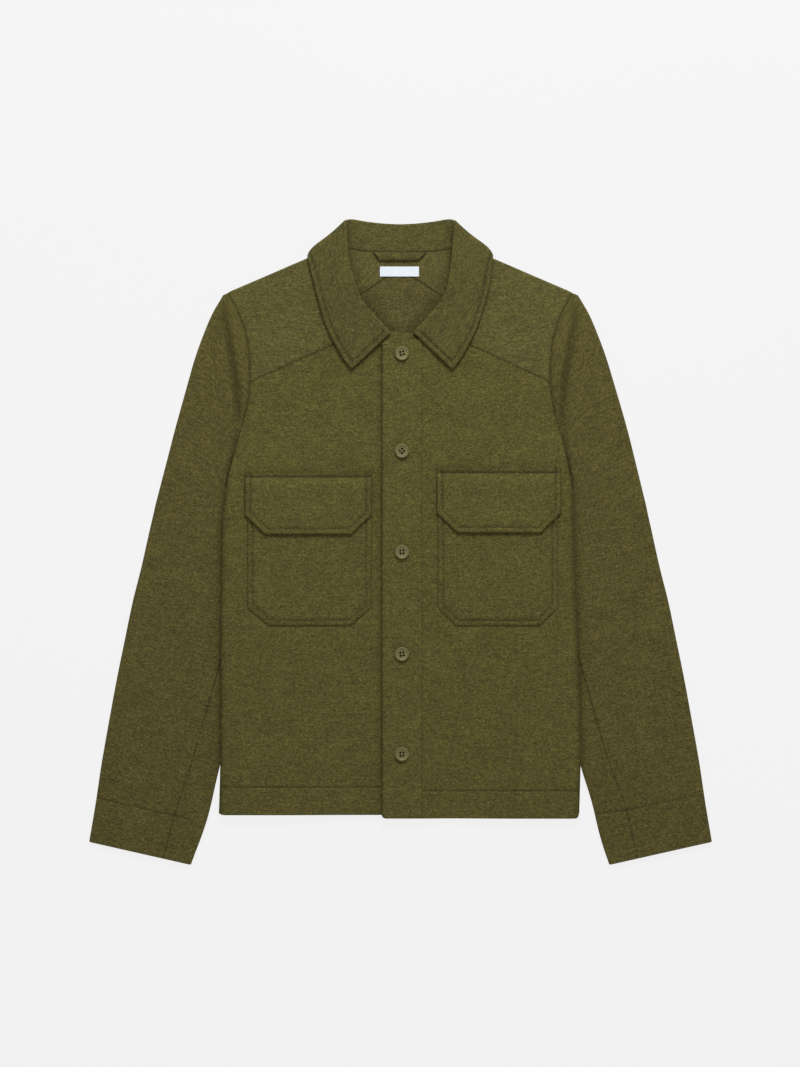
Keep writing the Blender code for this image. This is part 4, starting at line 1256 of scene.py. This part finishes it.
def pocket_lift(values, x, y):
    """Height of a pocket's or flap's outer face over the front, less where it is sewn down."""
    lift = values["layer"] * (CLOTH + REST_GAP)
    if values["layer"] == 1:
        bag = pocket_outline(dict(values, top_y=values["top_y"] + SINK_REACH))
        inside = -outside(np.stack((x, y), axis=-1), bag)
        return lift - POCKET_SINK * (1 - smooth(inside / SINK_REACH))
    seat = FLAP_SEAT * (1 - smooth((values["top_y"] - FLAP_SEAT_FLAT - y) / FLAP_SEAT_REACH))
    inside = np.minimum(x - values["low_x"], values["high_x"] - x)
    seat = np.maximum(seat, FLAP_SIDE_SINK * (1 - smooth(inside / SINK_REACH)))
    return lift - seat + FLAP_LIFT * smooth((values["bottom_y"] - y) / FLAP_LIFT_REACH + 1.0)


def make_pockets(material, sewn):
    """Pocket bags and their flaps, with stitched edges, on the fronts."""
    across, along = GRID["pocket"]
    for number, row in enumerate(POCKET_ROWS):
        values = dict(zip(POCKET_COLUMNS, row))
        side = LEFT if values["low_x"] > 0 else RIGHT
        outline = pocket_outline(values)
        is_flap = values["layer"] == 2
        wide = values["high_x"] - values["low_x"]
        tall = values["top_y"] - values["bottom_y"]
        marks_up = [EDGE_INSET] + ([tall - FLAP_TOP_INSET] if is_flap else [])
        plan = patch(outline[2:4], outline[[0, 5]], outline[[2, 1, 0]], outline[[3, 4, 5]],
                     spread(wide, across, [EDGE_INSET, wide - EDGE_INSET], **FINE),
                     spread(tall, along, marks_up, **FINE))

        def height(x, y):
            return front_height(x, y, side) + pocket_lift(values, x, y)

        from_edge = apart(plan, outline)
        relief = welt(from_edge, POCKET_WELT)
        share = STITCH_NAP_AND_SHADE if is_flap else POCKET_NAP_AND_SHADE * STITCH_NAP_AND_SHADE
        # Darkened along the stitches and the outer edge: pressed nap and painted shade.
        nap_and_shade = pressed_nap_and_shade(from_edge - EDGE_INSET, share, POCKET_STITCH_WIDTH)
        nap_and_shade = nap_and_shade + pressed_nap_and_shade(from_edge, POCKET_NAP_AND_SHADE * share, POCKET_EDGE_WIDTH)
        lines = [pocket_outline(values, EDGE_INSET)]
        lines[0][[0, 5], 1] = values["top_y"] - (FLAP_TOP_INSET if is_flap else HIDDEN_TOP)
        if is_flap:
            line_y = values["top_y"] - FLAP_TOP_INSET
            above_line = plan[..., 1] - line_y
            relief = relief + groove(above_line, *FLAP_GROOVE)
            # Darkened along the flap's top seam and top edge: pressed nap and painted shade.
            nap_and_shade = nap_and_shade + pressed_nap_and_shade(above_line, SEAM_NAP_AND_SHADE)
            nap_and_shade = nap_and_shade + pressed_nap_and_shade(values["top_y"] - plan[..., 1], SEAM_NAP_AND_SHADE)
            middle_x = (values["low_x"] + values["high_x"]) / 2
            swell = FLAP_SWELL * bell(above_line + FLAP_SWELL_DROP, FLAP_SWELL_REACH)
            taper = 1 - ((plan[..., 0] - middle_x) / wide * FLAP_SWELL_TAPER) ** 2
            relief = relief + swell * taper.clip(0.0, 1.0)
            ends = (values["low_x"] + FLAP_LINE_INSET, values["high_x"] - FLAP_LINE_INSET)
            lines.append(np.array([(x, line_y) for x in ends]))
        grid = flat_grid(plan, height, CLOTH, relief, GRAIN["pocket"] + number, nap_and_shade)
        rounding, beneath = FLAP_ROUNDING if is_flap else POCKET_ROUNDING
        shell(values["name"], [grid], material, rounding=rounding, beneath=beneath)
        for points in lines:
            dense = walk(points, np.linspace(0.0, 1.0, int(length_of(points) / SEWN_STEP)))
            sewn.append(np.column_stack((dense, height(*dense.T) - GROOVE_DEPTH)))


def sew_body(sewn):
    """Lines of stitching on the hems and cuffs."""
    for side, hem_y in ((RIGHT, HEM_RIGHT_Y), (LEFT, HEM_LEFT_Y)):
        x = side * np.linspace(HEM_STITCH_START[side], HEM_STITCH_END, 180)
        y = np.full(x.shape, hem_y + HEM_DEPTH)
        sewn.append(np.column_stack((x, y, front_height(x, y, side) - THREAD_SINK)))
        line = walk(mirrored(CUFF_LINES[side], side), np.linspace(0.0, 1.0, 110))
        sewn.append(np.column_stack((line, np.full(len(line), DOUBLE - THREAD_SINK))))


def make_stitching(sewn, material):
    """All the stitches as one mesh: short arched threads along the sewn lines."""
    sides, rings = 6, len(STITCH_TAPER)
    turn = np.linspace(0.0, 2 * math.pi, sides, endpoint=False)
    along = np.linspace(-1.0, 1.0, rings)
    thick = np.array(STITCH_TAPER) * STITCH_RADIUS
    arch = STITCH_ARCH * (0.5 - along ** 2)
    quads = tube_quads(rings, sides)
    points, faces = [], []
    for line in sewn:
        count = int(length_of(line) / STITCH_PITCH)
        middle, after, before = [walk(line, (np.arange(count) + part) / count) for part in (0.5, 0.55, 0.45)]
        for spot, way in zip(middle, after - before):
            way = unit(way)
            across = unit(np.cross((0.0, 0.0, 1.0), way) + chance.normal(0.0, STITCH_SLANT, 3))
            up = np.cross(way, across)
            half = STITCH_LENGTH / 2 * chance.uniform(*STITCH_UNEVEN)
            spine = spot + way * (along * half)[:, None] + up * arch[:, None]
            ring = across * np.cos(turn)[:, None] + up * np.sin(turn)[:, None]
            faces.append(quads + len(points) * rings * sides)
            points.append((spine[:, None] + ring[None] * thick[:, None, None]).reshape(-1, 3))
    add_piece("stitching", made_mesh("stitching", np.concatenate(points), np.concatenate(faces)), material)


def thread_material():
    """Twisted tone-on-tone thread."""
    material, tree, shader = start_material("thread")
    twist = noise(tree, own_place(tree), 1800.0, 1.0)
    tree.links.new(ramp(tree, twist, shades(THREAD, (0.3, 0.85), (0.7, 1.2))), shader.inputs["Base Color"])
    set_inputs(shader, {"Roughness": 0.85})
    return material


def button_material():
    """Satin khaki with faint swirls, worn a little lighter in patches."""
    material, tree, shader = start_material("button")
    place = own_place(tree)
    swirl = noise(tree, place, 260.0, 3.0, (1.0, 2.2, 1.0))
    colour = ramp(tree, swirl, shades(BUTTON_KHAKI, (0.28, 0.84), (0.5, 1.0), (0.74, 1.14)))
    tree.links.new(colour, shader.inputs["Base Color"])
    gloss = ramp(tree, noise(tree, place, 900.0, 2.0), greys((0.3, 0.45), (0.7, 0.6)))
    tree.links.new(gloss, shader.inputs["Roughness"])
    set_inputs(shader, {"Specular IOR Level": 0.3})
    return material


def label_material():
    """Bare white woven tape with a fine rib."""
    material, tree, shader = start_material("label")
    weave = noise(tree, attribute(tree, "cloth").outputs["Vector"], 900.0, 1.0, (0.3, 2.0, 1.0))
    colour = ramp(tree, weave, shades(LABEL_WHITE, (0.3, 0.95), (0.7, 1.0)))
    tree.links.new(colour, shader.inputs["Base Color"])
    bumped(tree, shader, weave, 0.3, 0.0002)
    set_inputs(shader, {"Roughness": 0.7})
    return material


def lathe(profile, steps):
    """Points and faces of a profile turned about Z."""
    turn = np.linspace(0.0, 2 * math.pi, steps, endpoint=False)
    points = np.array([[(r * math.cos(a), r * math.sin(a), z) for a in turn] for r, z in profile])
    return points.reshape(-1, 3), tube_quads(len(profile), steps)


def lathe_at(profile, steps, spots):
    """Points and faces of copies of a turned profile at spots in plan."""
    points, quads = lathe(profile, steps)
    return (np.concatenate([points + (*spot, 0.0) for spot in spots]),
            np.concatenate([quads + i * len(points) for i in range(len(spots))]))


def welded(name, points, quads):
    """Mesh of turned shapes, with the points on their axes drawn together."""
    mesh = made_mesh(name, points, quads)
    form = bmesh.new()
    form.from_mesh(mesh)
    bmesh.ops.remove_doubles(form, verts=form.verts, dist=0.01 * MM)
    bmesh.ops.recalc_face_normals(form, faces=form.faces)
    form.to_mesh(mesh)
    form.free()
    return mesh


def make_buttons(material, thread):
    """Four-hole buttons with a rounded rim and a dished face, sewn on with thread."""
    rim = [(BUTTON_RADIUS - RIM_WIDTH + RIM_WIDTH * math.cos(a), RIM_MIDDLE + RIM_HEIGHT * math.sin(a))
           for a in RIM_ANGLES]
    form = lathe(BUTTON_DISH + rim + BUTTON_BACK, 56)
    half = HOLE_SPACING / 2
    spots = [(x, y) for x in (-half, half) for y in (-half, half)]
    for number, (y, turn) in enumerate(zip(BUTTON_Y, BUTTON_TURN), start=1):
        name = "button_%d" % number
        centre = np.array((CENTRE_FRONT_X, y, band_height(CENTRE_FRONT_X, y) + SEAM))
        angle = math.radians(turn)
        piece = add_piece(name, welded(name, *form), material, name)
        cutter = linked(name + "_holes", welded(name + "_holes", *lathe_at(HOLE, 16, spots)))
        for thing in (piece, cutter):
            thing.location = centre * MM
            thing.rotation_euler = (0.0, 0.0, angle)
        drilled = piece.modifiers.new("holes", "BOOLEAN")
        drilled.operation = "DIFFERENCE"
        drilled.object = cutter
        bpy.context.view_layer.update()
        shape = bpy.data.meshes.new_from_object(piece.evaluated_get(bpy.context.evaluated_depsgraph_get()))
        piece.modifiers.clear()
        piece.data = shape
        bpy.data.objects.remove(cutter, do_unlink=True)
        sewing, quads = lathe_at(HOLE_THREAD, 10, spots)
        c, s = math.cos(angle), math.sin(angle)
        sewing = sewing @ np.array(((c, s, 0.0), (-s, c, 0.0), (0.0, 0.0, 1.0))) + centre
        add_piece(name + "_thread", welded(name + "_thread", sewing, quads), thread)


def make_neck_trim(wool, label):
    """Hanger loop and bare label on the inside of the back neck."""
    (wide, tall), (across, along) = LOOP_SIZE, GRID["loop"]
    plan = strip_between(LOOP_LOW, LOOP_TOP, spread(wide, across), spread(tall, along, fine=LOOP_FINE))
    low_y, top_y = LOOP_LOW[0][1], LOOP_TOP[0][1]
    swell = LOOP_SWELL * np.sin(math.pi * ((plan[..., 1] - low_y) / (top_y - low_y)))
    rise = LOOP_LIFT * (1 - (plan[..., 0] / LOOP_TOP[1][0]) ** 2).clip(0.0, 1.0)
    # Darkened along the loop's top seam: pressed nap and painted shade.
    nap_and_shade = pressed_nap_and_shade(top_y - plan[..., 1], SEAM_NAP_AND_SHADE, LOOP_NAP_AND_SHADE_WIDTH)
    grid = flat_grid(plan, lambda x, y: inside_height(x, y) + SEAM + CLOTH + rise, CLOTH, swell,
                     GRAIN["loop"], nap_and_shade)
    shell("hanger_loop", [grid], wool, rounding=LOOP_ROUNDING)
    low = [LABEL_LOW, (LABEL_HIGH[0], LABEL_LOW[1])]
    high = [(LABEL_LOW[0], LABEL_HIGH[1]), LABEL_HIGH]
    (wide, tall), (across, along) = LABEL_SIZE, GRID["label"]
    plan = strip_between(low, high, spread(wide, across, **LABEL_FINE), spread(tall, along, **LABEL_FINE))
    grid = flat_grid(plan, lambda x, y: inside_height(x, y) + REST_GAP + LABEL_CLOTH, LABEL_CLOTH,
                     np.zeros(plan.shape[:2]), GRAIN["label"])
    shell("label", [grid], label, LABEL_CLOTH, rounding=LABEL_ROUNDING)


def make_floor():
    """Pale ground, a little lit from within like a light table."""
    mesh = bpy.data.meshes.new("floor")
    corners = [(x * FLOOR_HALF, y * FLOOR_HALF, FLOOR_Z) for x, y in ((-1, -1), (1, -1), (1, 1), (-1, 1))]
    mesh.from_pydata(corners, [], [(0, 1, 2, 3)])
    material, tree, shader = start_material("floor")
    mottle = noise(tree, own_place(tree), 3.0, 2.0)
    tree.links.new(ramp(tree, mottle, greys((0.3, 0.07), (0.7, 0.072))), shader.inputs["Base Color"])
    set_inputs(shader, {"Roughness": 0.9, "Specular IOR Level": 0.0, "Emission Color": (1.0, 1.0, 1.0, 1.0),
                        "Emission Strength": FLOOR_GLOW})
    mesh.materials.append(material)
    linked("floor", mesh)


def make_light_and_camera():
    """Soft light from the top, an even dome, and the camera straight above."""
    world = bpy.data.worlds.new("studio")
    bpy.context.scene.world = world
    world.use_nodes = True
    set_inputs(world.node_tree.nodes["Background"], {"Color": (1.0, 1.0, 1.0, 1.0), "Strength": DOME})
    light = bpy.data.lights.new("key", "AREA")
    light.shape = "RECTANGLE"
    light.size, light.size_y = KEY_SIZE
    light.energy = KEY_POWER
    key = linked("key", light)
    key.location = KEY_PLACE
    x, y, z = KEY_PLACE
    key.rotation_euler = (math.acos(z / np.linalg.norm(KEY_PLACE)), 0.0, math.atan2(-y, -x) - math.pi / 2)
    lens = bpy.data.cameras.new("camera")
    lens.sensor_width = SENSOR
    lens.lens = SENSOR * (CAMERA_HEIGHT - DOUBLE) / FIELD_LONG
    lens.clip_end = 20.0
    camera = linked("camera", lens)
    camera.location = (0.0, FIELD_MIDDLE_Y * MM, CAMERA_HEIGHT * MM)
    bpy.context.scene.camera = camera
    bpy.context.scene.view_settings.view_transform = "Standard"


def main():
    wool = {part: wool_material("wool_" + part, colour) for part, colour in WOOL.items()}
    thread = thread_material()
    sewn = []
    make_back(wool["back"])
    make_front("front_right", RIGHT, HEM_RIGHT_Y, -UNDERLAP_X, THROAT_RIGHT, wool["front"])
    make_front("front_left", LEFT, HEM_LEFT_Y, BAND_SEAM_X - SEWN, THROAT_LEFT, wool["front"])
    make_band(wool["band"])
    make_yoke(wool["yoke"])
    make_sleeves(wool["sleeve"])
    make_collar(wool["collar"], sewn)
    make_pockets(wool["pocket"], sewn)
    sew_body(sewn)
    make_stitching(sewn, thread)
    make_buttons(button_material(), thread)
    make_neck_trim(wool["collar"], label_material())
    make_floor()
    make_light_and_camera()


main()
